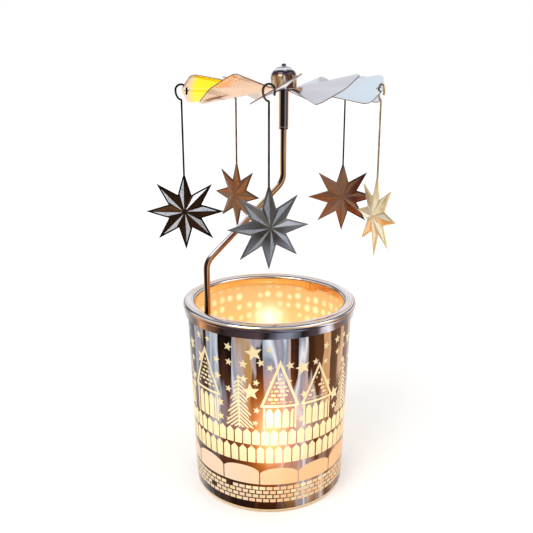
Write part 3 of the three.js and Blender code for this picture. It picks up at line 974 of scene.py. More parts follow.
FLAME_HEIGHT = 36.0  # where the glass glows most, in millimetres over the table
FLAME_REACH = 15.0  # how far up and down its glow fades
GLOW_AZIMUTH = -88.5  # the side on which the flame shines straight through, in degrees
GLOW_WIDTH = 12.5
BEAM_HEIGHT = 61.0  # where the flame's image lies on the inside across
BEAM_REACH = 4.8
BLACK = (0.0, 0.0, 0.0)


def flame_glow(place):
    """How strongly the candle lights a point of the glass: by its height, and near one side as well."""
    x, y, z = place.split()
    level = bell((z / MM - FLAME_HEIGHT) / FLAME_REACH)
    azimuth = (y.math("ARCTAN2", x) - math.radians(GLOW_AZIMUTH)).math("WRAP", math.pi, -math.pi)
    return level, level * bell(azimuth / math.radians(GLOW_WIDTH))


def painted_silver_reflections(place, colours):
    """Painted reflections of a room in the plating: dark and light upright bands, crisp near the top and calm
    lower down.
    """
    tree = place.tree
    x, y, z = place.split()
    waver = (noise(scaled(place, (1.0, 1.0, 1.4)), 60.0, 1.0) - 0.5) * 0.0016
    fine = noise(vector(tree, x + waver, y + waver, z * 0.02 + 0.4), 150.0, 2.0)
    broad = noise(vector(tree, x + waver * 3.0, y, z * 0.55 + 1.7), 38.0, 1.0)
    hue = noise(vector(tree, x + waver, y + waver, z * 0.1 + 3.1), 105.0, 2.0)
    calm = (z / MM).below(52.0, 22.0)
    tone = (fine - 0.5) * (3.6 - calm * 2.7) + (broad - 0.5) * (calm * 1.3 + 0.9)
    crisp = tone / (calm * 0.3 + 0.05) + calm * 0.2 + 0.15
    gold, mauve, steel, silver = (colours.gold, colours.mauve, colours.steel, colours.silver)
    dark = ramped(hue, bands(0.51, colours.night, 0.59, colours.umber, 0.67, colours.night))
    light = ramped(
        hue,
        bands(0.34, gold, 0.40, mauve, 0.45, steel, 0.50, silver, 0.55, steel, 0.61, mauve, 0.67, gold),
    )
    # Painted candle light on the right side and painted cool light on the left.
    candle_lit_side = (x / MM).above(20.0, 20.0)
    cool_lit_side = (x / MM).below(-14.0, 22.0)
    dark = blended(candle_lit_side * 0.6, dark, tint(122, 74, 34))
    light = blended(candle_lit_side * 0.75, blended(cool_lit_side * 0.5, light, steel), tint(214, 152, 80))
    return blended(crisp.clamped(), dark, light)


def plating_finish():
    """Silvering with the print etched out of it, painted reflections of a room in the silver, and painted
    candle light in the etched lines and on the plating near the flame.
    """
    colours = bpy.context.scene.carousel_cup
    finish, give, place = new_material("silver plating", Emission_Strength=1.0, IOR=1.5)
    cream, peach = etched_print(place)[:2]
    smudge, scratch = handling(place)
    level, near = flame_glow(place)
    etched = either(cream, peach)
    # Painted candle glow: the plating turns orange near the flame.
    painted_candle_glow = blended(near * 0.85 + level * 0.16, painted_silver_reflections(place, colours), tint(186, 92, 32))
    # The etched snow is painted peach near the flame and greyer away from it, as painted candle light.
    away = (place.split()[0] / MM).below(-4.0, 22.0)
    snow = blended(away * 0.7, colours.peach, tint(216, 204, 190))
    give("Base Color", blended(etched, painted_candle_glow, blended(peach, colours.cream, snow)))
    give("Metallic", 1.0 - etched)
    frost = noise(place, 1500.0, 2.0)
    give("Roughness", etched * (frost * 0.25 + 0.3) + smudge * 0.1 + 0.03)
    see_through = cream * colours.see_through + peach * (colours.see_through * 0.3) + 0.012
    give("Alpha", 1.0 - see_through)
    # Painted glow: the etched lines and the plating near the flame get emission that stands in for candle
    # light.
    lit = blended(near, blended(level, tint(118, 98, 68), tint(168, 140, 90)), tint(255, 240, 196))
    warm_lit = blended(near, tint(108, 76, 34), tint(190, 140, 72))
    amber = blended(near * near * near, blended(near, BLACK, tint(206, 104, 18)), tint(255, 226, 150))
    give("Emission Color", blended(cream, blended(peach, amber, warm_lit), lit))
    give("Normal", bumped(etched * 0.6 + scratch * 0.05, 0.02 * MM))
    return finish


def frosted_finish():
    """The frosted inside, with a painted glow, the painted light that the stars throw on it, and a painted
    image of the flame.
    """
    colours = bpy.context.scene.carousel_cup
    finish, give, place = new_material(
        "frosted inside", Emission_Strength=1.0, Coat_Weight=0.25, Coat_Roughness=0.12
    )
    thrown_star_light = etched_print(place)[2]
    level, near = flame_glow(place)
    x, y, z = place.split()
    # Painted candle light: lower down the wall is paler and glows warmer; the stars' thrown light is painted
    # in lighter.
    deep = (z / MM).below(66.0, 24.0)
    cloud = noise(place, 60.0, 2.0)
    frost_and_painted_light = blended(deep * 0.5 + cloud * 0.2, colours.inside, tint(234, 214, 172))
    give("Base Color", blended(thrown_star_light * 0.5, frost_and_painted_light, tint(244, 234, 206)))
    # A painted reflection of the flame on the wall across, and a painted glow that is a little different on
    # the right side.
    beam = bell(x / (BEAM_REACH * MM), (z / MM - BEAM_HEIGHT) / BEAM_REACH) * (y / MM).above(0.0, 10.0)
    side = (x / MM).above(12.0, 60.0)
    painted_candle_glow = blended(deep, blended(side, tint(98, 70, 22), tint(98, 58, 16)), tint(140, 112, 58))
    glow_and_star_light = blended(thrown_star_light, painted_candle_glow, tint(182, 168, 132))
    give("Emission Color", blended(beam, glow_and_star_light, tint(255, 250, 226)))
    give("Alpha", 1.0 - near * 0.6 - level * 0.1)
    give("Roughness", cloud * 0.2 + 0.3)
    return finish


def bare_glass_finish():
    """The rim and the foot, where the glass shows bare."""
    finish, give, place = new_material("bare glass", IOR=1.5, Emission_Strength=1.0)
    depth = (place.split()[2] / MM).below(1.2, 1.6)
    cloud = noise(place, 220.0, 2.0)
    # Darker towards the foot; the emission is a painted candle glow in the bare glass.
    give("Base Color", blended(depth, tint(236, 214, 168), tint(176, 140, 84)))
    give("Roughness", cloud * 0.12 + 0.04)
    give("Emission Color", blended(cloud, tint(60, 40, 14), tint(110, 78, 34)))
    return finish


# Finishes of the metal


# Colours of the painted reflections in the metals' base colour: light and dark bands of the room, and warm
# bands of the candle.
PALE = tint(228, 224, 234)
WHITE = tint(250, 249, 250)
SHADE = tint(30, 22, 22)
DUSK = tint(74, 60, 66)
BROWN = tint(112, 74, 52)
ORANGE = tint(222, 146, 88)
GOLD = tint(206, 176, 132)
SLATE = tint(124, 128, 144)
GLOW = tint(252, 222, 184)
AMBER = tint(240, 196, 146)
EMBER = tint(196, 136, 86)
IRON = tint(20, 19, 22)
GREY = tint(84, 84, 92)


def chrome_finish(name, seed, sides, crown=None, start=0.3, roughness=0.05):
    """Bright chrome with painted reflections in its base colour: its bands run round the sides, and the
    crown's colours ring what faces up.
    """
    finish, give, place = new_material(name, Metallic=1.0)
    direction = facing(place.tree)
    bands_round, rise = polish(place, direction, seed)
    smudge, scratch = handling(place)
    shades = ramped(bands_round, sides)
    if crown:
        up = direction.split()[2]
        shades = blended(up.above(start, 0.15), shades, ramped(rise, crown))
    give("Base Color", shades)
    give("Roughness", smudge * 0.1 + roughness)
    give("Normal", bumped(scratch, 0.003 * MM))
    return finish


def ring_finish():
    """The bead of the ring: painted reflection bands on its sides and painted rings of light on its crown."""
    sides = bands(
        0.0, PALE, 0.14, SLATE, 0.2, GOLD, 0.34, BROWN, 0.5, DUSK,
        0.64, SLATE, 0.8, ORANGE, 0.92, BROWN, 1.0, PALE,
    )
    crown = bands(
        0.0, DUSK, 0.1, SHADE, 0.18, SLATE, 0.3, GOLD, 0.42, GOLD, 0.47, BROWN, 0.52, GOLD,
        0.62, PALE, 0.74, SLATE, 0.79, SHADE, 0.83, SLATE, 0.9, PALE, 0.96, GOLD, 1.0, PALE,
    )
    return chrome_finish("ring chrome", 0.35, sides, crown, 0.12)


def skirt_finish():
    """The outer skirt, with the crisp bands of a dark room painted in as reflections."""
    sides = bands(
        0.0, SLATE, 0.08, BROWN, 0.18, DUSK, 0.23, ORANGE, 0.27, BROWN, 0.31, SHADE,
        0.43, DUSK, 0.47, SHADE, 0.53, SLATE, 0.57, SHADE, 0.65, DUSK, 0.69, PALE,
        0.72, BROWN, 0.8, DUSK, 0.85, GOLD, 0.9, BROWN, 0.96, ORANGE, 1.0, SLATE,
    )
    return chrome_finish("skirt chrome", 4.2, sides)


def glowing_skirt_finish():
    """The inner skirt and the weld, lit by the candle."""
    sides = bands(0.0, AMBER, 0.2, EMBER, 0.35, AMBER, 0.5, GLOW, 0.7, AMBER, 0.85, GLOW, 1.0, AMBER)
    return chrome_finish("candle-lit chrome", 2.6, sides, roughness=0.12)


def rod_finish():
    """The bent rod."""
    sides = bands(
        0.0, PALE, 0.14, GOLD, 0.22, BROWN, 0.32, SHADE, 0.5, SHADE, 0.56, BROWN,
        0.6, GOLD, 0.65, BROWN, 0.78, ORANGE, 0.92, BROWN, 1.0, GOLD,
    )
    crown = bands(0.0, PALE, 0.4, SLATE, 0.7, PALE, 1.0, WHITE)
    return chrome_finish("rod chrome", 7.1, sides, crown, 0.6)


def sleeve_finish():
    """The sleeve below the fan."""
    sides = bands(
        0.0, BROWN, 0.12, ORANGE, 0.2, GOLD, 0.28, SHADE, 0.5, SHADE, 0.57, DUSK,
        0.62, SLATE, 0.68, SHADE, 0.76, BROWN, 0.88, ORANGE, 1.0, BROWN,
    )
    return chrome_finish("sleeve chrome", 3.3, sides, bands(0.0, DUSK, 1.0, PALE), 0.5)


def hub_finish():
    """The dome on top of the fan."""
    sides = bands(
        0.0, PALE, 0.14, SLATE, 0.22, GOLD, 0.3, BROWN, 0.42, GOLD, 0.48, PALE,
        0.56, BROWN, 0.66, SHADE, 0.76, GOLD, 0.9, ORANGE, 1.0, PALE,
    )
    crown = bands(0.0, SHADE, 0.42, DUSK, 0.55, SHADE, 0.66, SLATE, 0.74, WHITE, 0.85, SLATE, 1.0, PALE)
    return chrome_finish("hub chrome", 9.4, sides, crown, 0.25)


def dark_steel_finish():
    """The bearing's steel."""
    sides = bands(0.0, IRON, 0.25, GREY, 0.5, IRON, 0.75, GREY, 1.0, IRON)
    return chrome_finish("dark steel", 5.5, sides, roughness=0.2)


def blade_place(place):
    """The number of the blade at a point of the fan, and the point's distance from the axis in mm."""
    fan = bpy.context.scene.carousel_fan
    x, y, z = place.split()
    across = x - HUB.x
    along = y - HUB.y
    azimuth = (along.math("ARCTAN2", across) / math.tau + 1.0).math("FRACT")
    first = fan.first_azimuth / math.tau - 0.5 / fan.blades
    number = ((azimuth - first + 1.0).math("FRACT") * fan.blades).math("FLOOR")
    return number, span(across, along) / MM


def blade_finish(name, dark, light, glints=()):
    """Thin polished sheet with painted reflections: each blade shows its own painted patch of the room,
    shading off along its length.

    A glint is one blade with a painted reflection of something else: its number, how far out it reaches, and
    its colour.
    """
    finish, give, place = new_material(name, Metallic=1.0)
    number, radius = blade_place(place)
    chance = chances(place.tree, number, 0.0, 17.0)[0]
    cloud = noise(place, 34.0, 2.0)
    along = (radius - 12.0) / 26.0
    mix = (chance * 0.7 + cloud * 0.5 + along * 0.25 - 0.2).clamped()
    sheen = blended(mix, dark, light)
    for blade, reach, shade in glints:
        here = (number - blade).math("ABSOLUTE").math("LESS_THAN", 0.5) * radius.below(reach, 3.0)
        sheen = blended(here, sheen, shade)
    smudge, scratch = handling(place)
    give("Base Color", sheen)
    give("Roughness", smudge * 0.16 + 0.1)
    give("Normal", bumped(scratch, 0.003 * MM))
    return finish


def cut_edge_finish():
    """The sheared edge of the fan's sheet."""
    finish, give, place = new_material("cut edge", Metallic=1.0)
    scratch = handling(place)[1]
    give("Base Color", blended(noise(place, 160.0), tint(64, 54, 50), tint(150, 128, 112)))
    give("Roughness", scratch * 0.3 + 0.2)
    return finish


# Finishes of the star charms


class CharmLook:
    """The colours of one charm, as the room and the candle light it.

    The sparkle lies in a sliver beside each ridge, and the rest of the facet is plain with clouds of the
    hook's darker wire. The tips below get a painted candle-lit reflection, and a painted sheen may cover the
    left half.
    """

    def __init__(self, name, sparkle, plain, wire, border, tip, sheen=None):
        self.name = "star " + name
        self.sparkle = tint(*sparkle)
        self.plain = tint(*plain)
        self.wire = tint(*wire)
        self.border = tint(*border)
        self.tip = tint(*tip)
        self.sheen = tint(*sheen) if sheen else None

    def lit(self, place, middle, ground):
        """The ground colour, with the sheen over the star's left half."""
        if not self.sheen:
            return ground
        left = ((place.split()[0] - middle.x) / MM).below(2.0, 7.0)
        return blended(left * 0.7, ground, self.sheen)


# Each look: name, sparkle, plain, wire, border, the lower tips' painted candle-lit reflection, and a painted
# sheen on some.
CHARM_LOOKS = [
    CharmLook("silver", (140, 144, 152), (80, 77, 74), (48, 38, 32), (92, 90, 88), (128, 134, 150)),
    CharmLook("gold", (246, 238, 214), (240, 224, 186), (120, 100, 74), (214, 194, 150), (214, 158, 70)),
    CharmLook(
        "copper", (116, 82, 64), (74, 38, 30), (40, 22, 20), (52, 28, 24), (168, 82, 44), (138, 104, 82)
    ),
    CharmLook("bronze", (106, 86, 66), (158, 98, 60), (84, 58, 40), (92, 58, 40), (186, 110, 62)),
    CharmLook("black", (190, 192, 200), (54, 35, 20), (20, 13, 11), (18, 12, 10), (44, 26, 16)),
]


def sparkle_finish(look, middle):
    """A sliver with fine hammered sparkle."""
    finish, give, place = new_material(look.name + " sparkle", Metallic=1.0)
    grain = noise(place, 1900.0, 3.0, 0.7)
    ground = blended(noise(place, 210.0, 2.0), look.plain, look.sparkle)
    specks = blended(grain.above(0.44, 0.14), ground, look.sparkle)
    smudge = handling(place)[0]
    give("Base Color", look.lit(place, middle, specks))
    give("Roughness", grain * 0.4 + smudge * 0.1 + 0.1)
    give("Normal", bumped(grain, 0.05 * MM))
    return finish


def facet_finish(look, middle):
    """A smooth facet that shades off from the middle of the star to its point."""
    finish, give, place = new_material(look.name + " facet", Metallic=1.0)
    smudge, scratch = handling(place)
    x, y, z = place.split()
    rise = z - middle.z
    far = span(x - middle.x, y - middle.y, rise) / MM
    low = (rise / MM).below(2.0, 12.0)
    cloud = noise(place, 110.0, 2.0, 0.5, 0.5)
    shade = look.lit(place, middle, blended(cloud.above(0.46, 0.4), look.wire, look.plain))
    # The lower points blend to the tip colour, a painted candle-lit reflection.
    give("Base Color", blended(far.above(9.0, 9.0) * low, shade, look.tip))
    give("Roughness", smudge * 0.2 + 0.14)
    give("Normal", bumped(scratch, 0.004 * MM))
    return finish


def wire_finish(look, middle):
    """The hook, the stem and the star's plain edge, which is lighter on some stars."""
    finish, give, place = new_material(look.name + " edge", Metallic=1.0)
    scratch = handling(place)[1]
    light = [min(1.0, channel * 2.6 + 0.01) for channel in look.wire]
    wire = blended(noise(place, 260.0).above(0.55, 0.3), look.wire, light)
    on_star = ((place.split()[2] - middle.z) / MM).below(12.0, 5.0)
    give("Base Color", blended(on_star, wire, look.lit(place, middle, look.border)))
    give("Roughness", scratch * 0.2 + 0.22)
    return finish


# Finishes of the tealight


def foil_finish():
    """Foil with the fine lines of its rolling."""
    finish, give, place = new_material("aluminium foil", Metallic=1.0)
    rolled = noise(scaled(place, (1.0, 1.0, 6.0)), 420.0, 3.0)
    give("Base Color", blended(rolled, tint(206, 178, 140), tint(246, 232, 210)))
    give("Roughness", rolled * 0.25 + 0.2)
    give("Normal", bumped(rolled, 0.03 * MM))
    return finish


def wax_finish():
    """Wax that glows through near the flame and has a wet pool round the wick."""
    colours = bpy.context.scene.carousel_tealight
    finish, give, place = new_material("candle wax", Emission_Strength=1.0)
    x, y, z = place.split()
    pool = (span(x, y) / MM).below(12.0, 6.0)
    mottle = noise(place, 260.0, 3.0)
    give("Base Color", blended(mottle * 0.4, colours.wax, tint(238, 204, 150)))
    give("Roughness", 0.5 - pool * 0.42)
    give("Emission Color", blended(pool, tint(120, 70, 26), tint(255, 214, 140)))
    give("Normal", bumped(mottle * (1.0 - pool), 0.05 * MM))
    return finish


def tinplate_finish():
    """The wick's foot, with the faint crystals of its tin."""
    finish, give, place = new_material("tinplate", Metallic=1.0)
    spangle = noise(place, 700.0, 2.0)
    give("Base Color", blended(spangle, tint(150, 140, 124), tint(206, 198, 184)))
    give("Roughness", spangle * 0.2 + 0.25)
    return finish


def wick_finish():
    """Braided cotton, charred black at the top with a glowing tip."""
    finish, give, place = new_material("wick cotton", Emission_Strength=1.0)
    height = place.split()[2]
    char = height.above(WAX_HIGH.z + 1.5 * MM, 2.5 * MM)
    ember = height.above(WICK_HIGH.z - 0.8 * MM, 1.0 * MM)
    braid = noise(scaled(place, (1.0, 1.0, 0.5)), 2400.0, 2.0)
    give("Base Color", blended(char, tint(214, 196, 160), tint(24, 18, 15)))
    give("Roughness", braid * 0.2 + 0.75)
    give("Emission Color", blended(ember, BLACK, tint(255, 110, 30)))
    give("Normal", bumped(braid, 0.15 * MM))
    return finish


def flame_finish():
    """A soft flame: blue at its foot, orange at its rim and white-hot in its body."""
    colours = bpy.context.scene.carousel_tealight
    finish, give, place = new_material("flame", Roughness=1.0, Emission_Strength=11.0)
    rise = ((place.split()[2] - WICK_HIGH.z) / colours.flame_height + 0.2).clamped()
    lick = noise(scaled(place, (1.0, 1.0, 0.3)), 300.0)
    stops = bands(
        0.0, tint(84, 104, 190), 0.14, tint(255, 196, 110), 0.5, colours.flame, 1.0, tint(255, 168, 60)
    )
    body = ramped(rise + (lick - 0.5) * 0.1, stops)
    give("Base Color", body)
    give("Emission Color", body)
    return finish


# The glass cup


def build_glass():
    """The glass: outside up, over the rounded rim and down inside to the thick floor."""
    size = bpy.context.scene.carousel_cup
    top_radius = CUP_HIGH.x
    height = CUP_HIGH.z
    rim = size.wall / 2
    corner = size.floor + size.floor_round
    taper = (top_radius - size.base_radius) / height
    inside = size.base_radius - size.wall + taper * corner
    base = size.base_round
    profile = [(0, 0), *arc((size.base_radius - base, base), (base, base), -90, 0, 6)]
    profile += [(size.base_radius + taper * height / 2, height / 2)]
    profile += arc((top_radius - rim, height - rim), (rim, rim), 0, 180, 8)
    hollow = (size.floor_round, size.floor_round)
    profile += arc((inside - size.floor_round, corner), hollow, 0, -90, 8)
    profile += [(0, size.floor)]
    glass = turned("glass_body", AXIS, profile)
    plated, bare, frosted = range(3)

    def choose(middle, normal):
        if middle.z > height - size.wall or middle.z < size.plating_foot:
            return bare
        outward = normal.x * middle.x + normal.y * middle.y
        return plated if outward > 0 else frosted

    dress(glass, [plating_finish(), bare_glass_finish(), frosted_finish()], choose)
    finish_piece(glass, "cup", ["glass_cup"])


# The ring and the rod


OUTER_SKIRT = 4 * MM  # depth of the skirt round the glass


class RingLines:
    """The radii and heights of the ring that several of its parts share."""

    def __init__(self, size):
        self.mouth = RING_HIGH.x - size.lip_width
        self.skirt = CUP_HIGH.x + size.outer_gap
        self.widest = RING_HIGH.z - size.lip_rise
        self.low = self.widest - size.inner_skirt


def ring_section(size, lines):
    """A cut through the ring: the lip, the curl under it, the outer skirt, and back inside the sheet."""
    sheet = size.sheet
    half = size.lip_width / 2
    middle = (lines.mouth + half, lines.widest)
    outside = lines.skirt + sheet
    outer_foot = lines.widest - OUTER_SKIRT
    curl = (RING_HIGH.x - outside, size.curl_drop)
    inner_curl = (RING_HIGH.x - sheet - lines.skirt, size.curl_drop - sheet)
    section = [(lines.mouth + sheet, lines.low), (lines.mouth, lines.low)]
    section += arc(middle, (half, size.lip_rise), 180, 0, 28)
    section += arc((outside, lines.widest), curl, -15, -90, 8)
    section += [(outside, outer_foot), (lines.skirt, outer_foot)]
    section += arc((lines.skirt, lines.widest), inner_curl, -90, -15, 6)
    section += arc(middle, (half - sheet, size.lip_rise - sheet), 0, 180, 12)
    return [*section, section[0]]


TAB_STEPS = 24


def ring_tab(size, lines):
    """The round tab below the inner skirt: a strip of the skirt, spun to its width and let down."""
    reach = size.tab_width / 2 / lines.mouth
    start = size.tab_azimuth - reach
    lift = size.inner_skirt * 0.6
    tab = start_point("ring_tab", (lines.mouth * math.cos(start), lines.mouth * math.sin(start), lines.low))
    outward = Vector((math.cos(start), math.sin(start), 0)) * size.sheet
    for step in (outward, Vector((0, 0, lift)), -outward, Vector((0, 0, -lift))):
        draw_to(step)
    select_whole()
    bpy.ops.mesh.spin(steps=TAB_STEPS, angle=-2 * reach, center=AXIS, axis=(0, 0, 1))
    select_whole()
    bpy.ops.mesh.remove_doubles(threshold=WELD)
    for i in range(1, TAB_STEPS):
        azimuth = start + 2 * reach * i / TAB_STEPS
        drop = size.tab_drop * math.sqrt(1 - (2 * i / TAB_STEPS - 1) ** 2)

        def in_column(corner):
            apart = math.atan2(corner.y, corner.x) - azimuth
            return abs(apart) < reach / TAB_STEPS / 2 and corner.z < lines.low + lift / 2

        select_where(tab, "VERT", in_column)
        bpy.ops.transform.translate(value=(0, 0, -drop))
    select_whole()
    bpy.ops.mesh.fill_holes(sides=0)
    close_skin()
    return tab


def cut_seam(ring, size, lines):
    """Cuts the slit of the seam through the tab and the skirt above it."""
    select_only()
    place = (lines.mouth + size.sheet / 2, 0, (lines.widest + RING_LOW.z) / 2)
    bpy.ops.mesh.primitive_cube_add(size=1, location=place)
    slit = named("slit")
    select_whole()
    stretch((4 * size.sheet, size.seam, lines.widest - RING_LOW.z + size.sheet), slit.location)
    rotate(size.tab_azimuth, "Z", AXIS)
    bpy.ops.object.mode_set(mode="OBJECT")
    combine(ring, slit, "DIFFERENCE")


def build_rim_ring():
    """The ring: an arched lip, curled under outside into a straight skirt, with a low skirt inside."""
    size = bpy.context.scene.carousel_ring
    lines = RingLines(size)
    ring = turned("rim_ring_body", AXIS, ring_section(size, lines))
    combine(ring, ring_tab(size, lines), "UNION")
    cut_seam(ring, size, lines)
    soften(ring, size.edge, 60)
    lip, outer_skirt, inner_skirt = range(3)

    def choose(place, normal):
        outward = normal.x * place.x + normal.y * place.y
        distance = math.hypot(place.x, place.y)
        if place.z >= lines.widest:
            return lip
        if distance < lines.mouth + 1.5 * size.sheet:
            return inner_skirt
        return outer_skirt if outward > 0 or distance > lines.skirt - size.sheet else lip

    dress(ring, [ring_finish(), skirt_finish(), glowing_skirt_finish()], choose)
    finish_piece(ring, "stand", ["rim_ring"])


BEND_STEPS = 14


def draw_bend(here, leg_start, corner, leg_end, run):
    """Draws the rod up to a bend and spins it round. Returns the place where the bend ends."""
    before = (corner - leg_start).normalized()
    after = (leg_end - corner).normalized()
    bend = before.angle(after)
    axis = before.cross(after).normalized()
    start = corner - before * run
    draw_to(start - here)
    centre = start + axis.cross(before) * (run / math.tan(bend / 2))
    bpy.ops.mesh.spin(steps=BEND_STEPS, angle=-bend, center=centre, axis=axis)
    return corner + after * run


def build_support_arm():
    """The rod: extruded up, spun round each bend, and ground to a point at the top."""
    size = bpy.context.scene.carousel_arm
    foot = Vector((ARM_LOW.x + size.radius, ARM_LOW.y + size.radius, ARM_LOW.z))
    lower = Vector((foot.x, foot.y, size.lower_bend))
    upper = Vector((HUB.x, HUB.y, size.upper_bend))
    shoulder = Vector((HUB.x, HUB.y, ARM_HIGH.z - size.needle))
    select_only()
    bpy.ops.mesh.primitive_circle_add(vertices=SMALL_STEPS, radius=size.radius, location=foot)
    rod = named("support_arm_body")
    select_whole()
    here = draw_bend(foot, foot, lower, upper, size.bend_run)
    here = draw_bend(here, lower, upper, shoulder, size.bend_run)
    draw_to(shoulder - here)
    draw_to((0, 0, size.needle))
    blunt = size.needle_tip / size.radius
    stretch((blunt, blunt, 1), (HUB.x, HUB.y, ARM_HIGH.z))
    select_whole()
    bpy.ops.mesh.fill_holes(sides=0)
    close_skin()
    soften(rod, size.edge, 50)
    dress(rod, [rod_finish()])
    finish_piece(rod, "stand", ["support_arm"])


def build_weld():
    """The small bead of weld between the foot of the rod and the ring's inner skirt."""
    size = bpy.context.scene.carousel_arm
    lines = RingLines(bpy.context.scene.carousel_ring)
    foot = Vector((ARM_LOW.x + size.radius, ARM_LOW.y + size.radius, 0))
    place = foot.normalized() * (lines.mouth - size.weld_inset)
    place.z = lines.widest - size.weld_drop
    select_only()
    bpy.ops.mesh.primitive_uv_sphere_add(segments=24, ring_count=16, radius=size.weld_radius, location=place)
    bead = named("arm_weld")
    select_whole()
    stretch((1, 1, size.weld_half_height / size.weld_radius), place)
    close_skin()
    apply_modifier(bead, "SUBSURF", levels=1, render_levels=1)
    dress(bead, [glowing_skirt_finish()])
    finish_piece(bead, "stand", [])


# The fan


NECK_STEPS = 8


def draw_neck(size, half_width):
    """Draws the neck out of the disc step by step, each one narrower and twisted further."""
    radius = size.disc_radius
    half = half_width
    twist = 0.0
    for i in range(1, NECK_STEPS + 1):
        along = i / NECK_STEPS
        next_radius = size.disc_radius + (size.root_radius - size.disc_radius) * along
        next_half = half_width + (size.root_half_width - half_width) * along
        next_twist = size.pitch * along * along * (3 - 2 * along)
        line = (HUB.x + next_radius, HUB.y, HUB.z)
        draw_to((next_radius - radius, 0, 0))
        if i == 1:
            stretch((0, 1, 1), line)
        stretch((1, next_half / half, next_half / half), line)
        rotate(next_twist - twist, "X", line)
        radius = next_radius
        half = next_half
        twist = next_twist


def shape_tip(sector, size):
    """Draws the middle of the blade's end out to its point and rounds the three corners."""
    shoulder = HUB.x + size.shoulder_radius
    width = size.shoulder_half_width * math.cos(size.pitch)
    overhang = size.tip_radius - size.shoulder_radius
    for side, amount in ((-0.5, 0.5), (0.0, 1.0), (0.5, 0.5)):

        def in_row(corner):
            aside = abs(corner.y - HUB.y - side * width)
            return abs(corner.x - shoulder) < NEAR and aside < width / 20

        select_where(sector, "VERT", in_row)
        bpy.ops.transform.translate(value=(overhang * amount, 0, 0))

    def at_shoulder(corner):
        return abs(corner.x - shoulder) < NEAR and abs(corner.y - HUB.y) > width * 0.95

    def at_tip(corner):
        return corner.x > HUB.x + size.tip_radius - NEAR

    select_where(sector, "VERT", at_shoulder)
    bpy.ops.mesh.bevel(offset=size.shoulder_round, affect="VERTICES", segments=6, offset_type="OFFSET")
    select_where(sector, "VERT", at_tip)
    bpy.ops.mesh.bevel(offset=size.tip_round, affect="VERTICES", segments=5, offset_type="OFFSET")


def fan_sector(size):
    """One blade's part of the stamped sheet, without thickness: disc, twisted neck and blade."""
    part = math.tau / size.blades
    start = Vector((math.cos(-part / 2), math.sin(-part / 2), 0)) * size.hole_radius + HUB
    sector = start_point("fan_sector", start)
    bpy.ops.mesh.spin(steps=6, angle=-part, center=HUB, axis=(0, 0, 1))
    select_whole()
    draw_to((0, 0, 0))
    grow = size.disc_radius / size.hole_radius
    stretch((grow, grow, 1), HUB)

    def on_neck(middle):
        far = math.hypot(middle.x - HUB.x, middle.y - HUB.y) > size.disc_radius * 0.98
        return far and abs(math.atan2(middle.y - HUB.y, middle.x - HUB.x)) < part * 0.34

    select_where(sector, "EDGE", on_neck)
    draw_neck(size, size.disc_radius * math.sin(part / 3))
    draw_to((size.shoulder_radius - size.root_radius, 0, 0))
    widen = size.shoulder_half_width / size.root_half_width
    stretch((1, widen, widen), (HUB.x + size.shoulder_radius, HUB.y, HUB.z))
    shape_tip(sector, size)
    close_skin()
    return sector


def blade_azimuth(size, number):
    """Which way a blade points."""
    return size.first_azimuth + math.tau * number / size.blades


def merged_sectors(sector, size):
    """One sheet made of a copy of the sector for each blade."""
    sectors = []
    for number in range(size.blades):
        sectors.append(copy_of(sector, "fan_copy"))
        rotate(blade_azimuth(size, number), "Z", HUB)
    bpy.data.objects.remove(sector)
    fan = joined(sectors)
    bpy.ops.object.transform_apply(location=True, rotation=True, scale=True)
    fan.name = "fan_sheet_body"
    bpy.ops.object.mode_set(mode="EDIT")
    close_skin()
    return fan


def pierce(fan, size):
    """Cuts a hole for a hook near the tip of every blade that carries a charm."""
    reach = size.tip_radius - size.hook_inset
    for number in range(0, size.blades, size.charm_every):
        azimuth = blade_azimuth(size, number)
        place = HUB + Vector((math.cos(azimuth), math.sin(azimuth), 0)) * reach
        lean = Euler((size.pitch, 0, azimuth), "XYZ")
        select_only()
        bpy.ops.mesh.primitive_cylinder_add(
            vertices=32, radius=size.hook_hole, depth=8 * size.sheet, location=place, rotation=lean
        )
        combine(fan, bpy.context.object, "DIFFERENCE")


def build_fan_sheet():
    """The fan: ten copies of one sector merged into one sheet, pierced for the hooks."""
    size = bpy.context.scene.carousel_fan
    fan = merged_sectors(fan_sector(size), size)
    apply_modifier(fan, "SOLIDIFY", thickness=size.sheet, offset=0.0, use_even_offset=True)
    pierce(fan, size)
    soften(fan, size.edge, 60)
    top, under, cut = range(3)

    def choose(place, normal):
        if abs(normal.z) <= 0.6:
            return cut
        return top if normal.z > 0 else under

    # Tops and undersides are one finish in two painted lights: the room's reflection on top, candle light
    # underneath.
    glints = [(8.0, 36.0, size.lemon), (0.0, 60.0, size.pearl)]
    tops = blade_finish("blade tops", size.mauve, size.top)
    undersides = blade_finish("blade undersides", size.amber, size.under, glints)
    dress(fan, [tops, undersides, cut_edge_finish()], choose)
    finish_piece(fan, "fan", ["fan_sheet"])


# The hub


def build_dome():
    """The dome on the fan: a straight wall and a round top, with a hole for the bearing's riveted end."""
    size = bpy.context.scene.carousel_hub
    radius = (CAP_HIGH.x - CAP_LOW.x) / 2
    inside = radius - size.dome_sheet
    hole = size.nub_radius + size.nub_play
    wall_top = CAP_LOW.z + size.dome_wall
    rise = (CAP_HIGH.z - wall_top) / math.sqrt(1 - (hole / radius) ** 2)
    end = math.degrees(math.acos(hole / radius))
    inner_end = math.degrees(math.acos(hole / inside))
    profile = [(inside, CAP_LOW.z), (radius, CAP_LOW.z)]
    profile += arc((0, wall_top), (radius, rise), 0, end, 16)
    profile += arc((0, wall_top), (inside, rise - size.dome_sheet), inner_end, 0, 12)
    dome = turned("hub_cap_body", HUB, [*profile, profile[0]], HUB_STEPS)
    soften(dome, size.dome_edge)
    dress(dome, [hub_finish()])
    finish_piece(dome, "fan", ["hub_cap"])


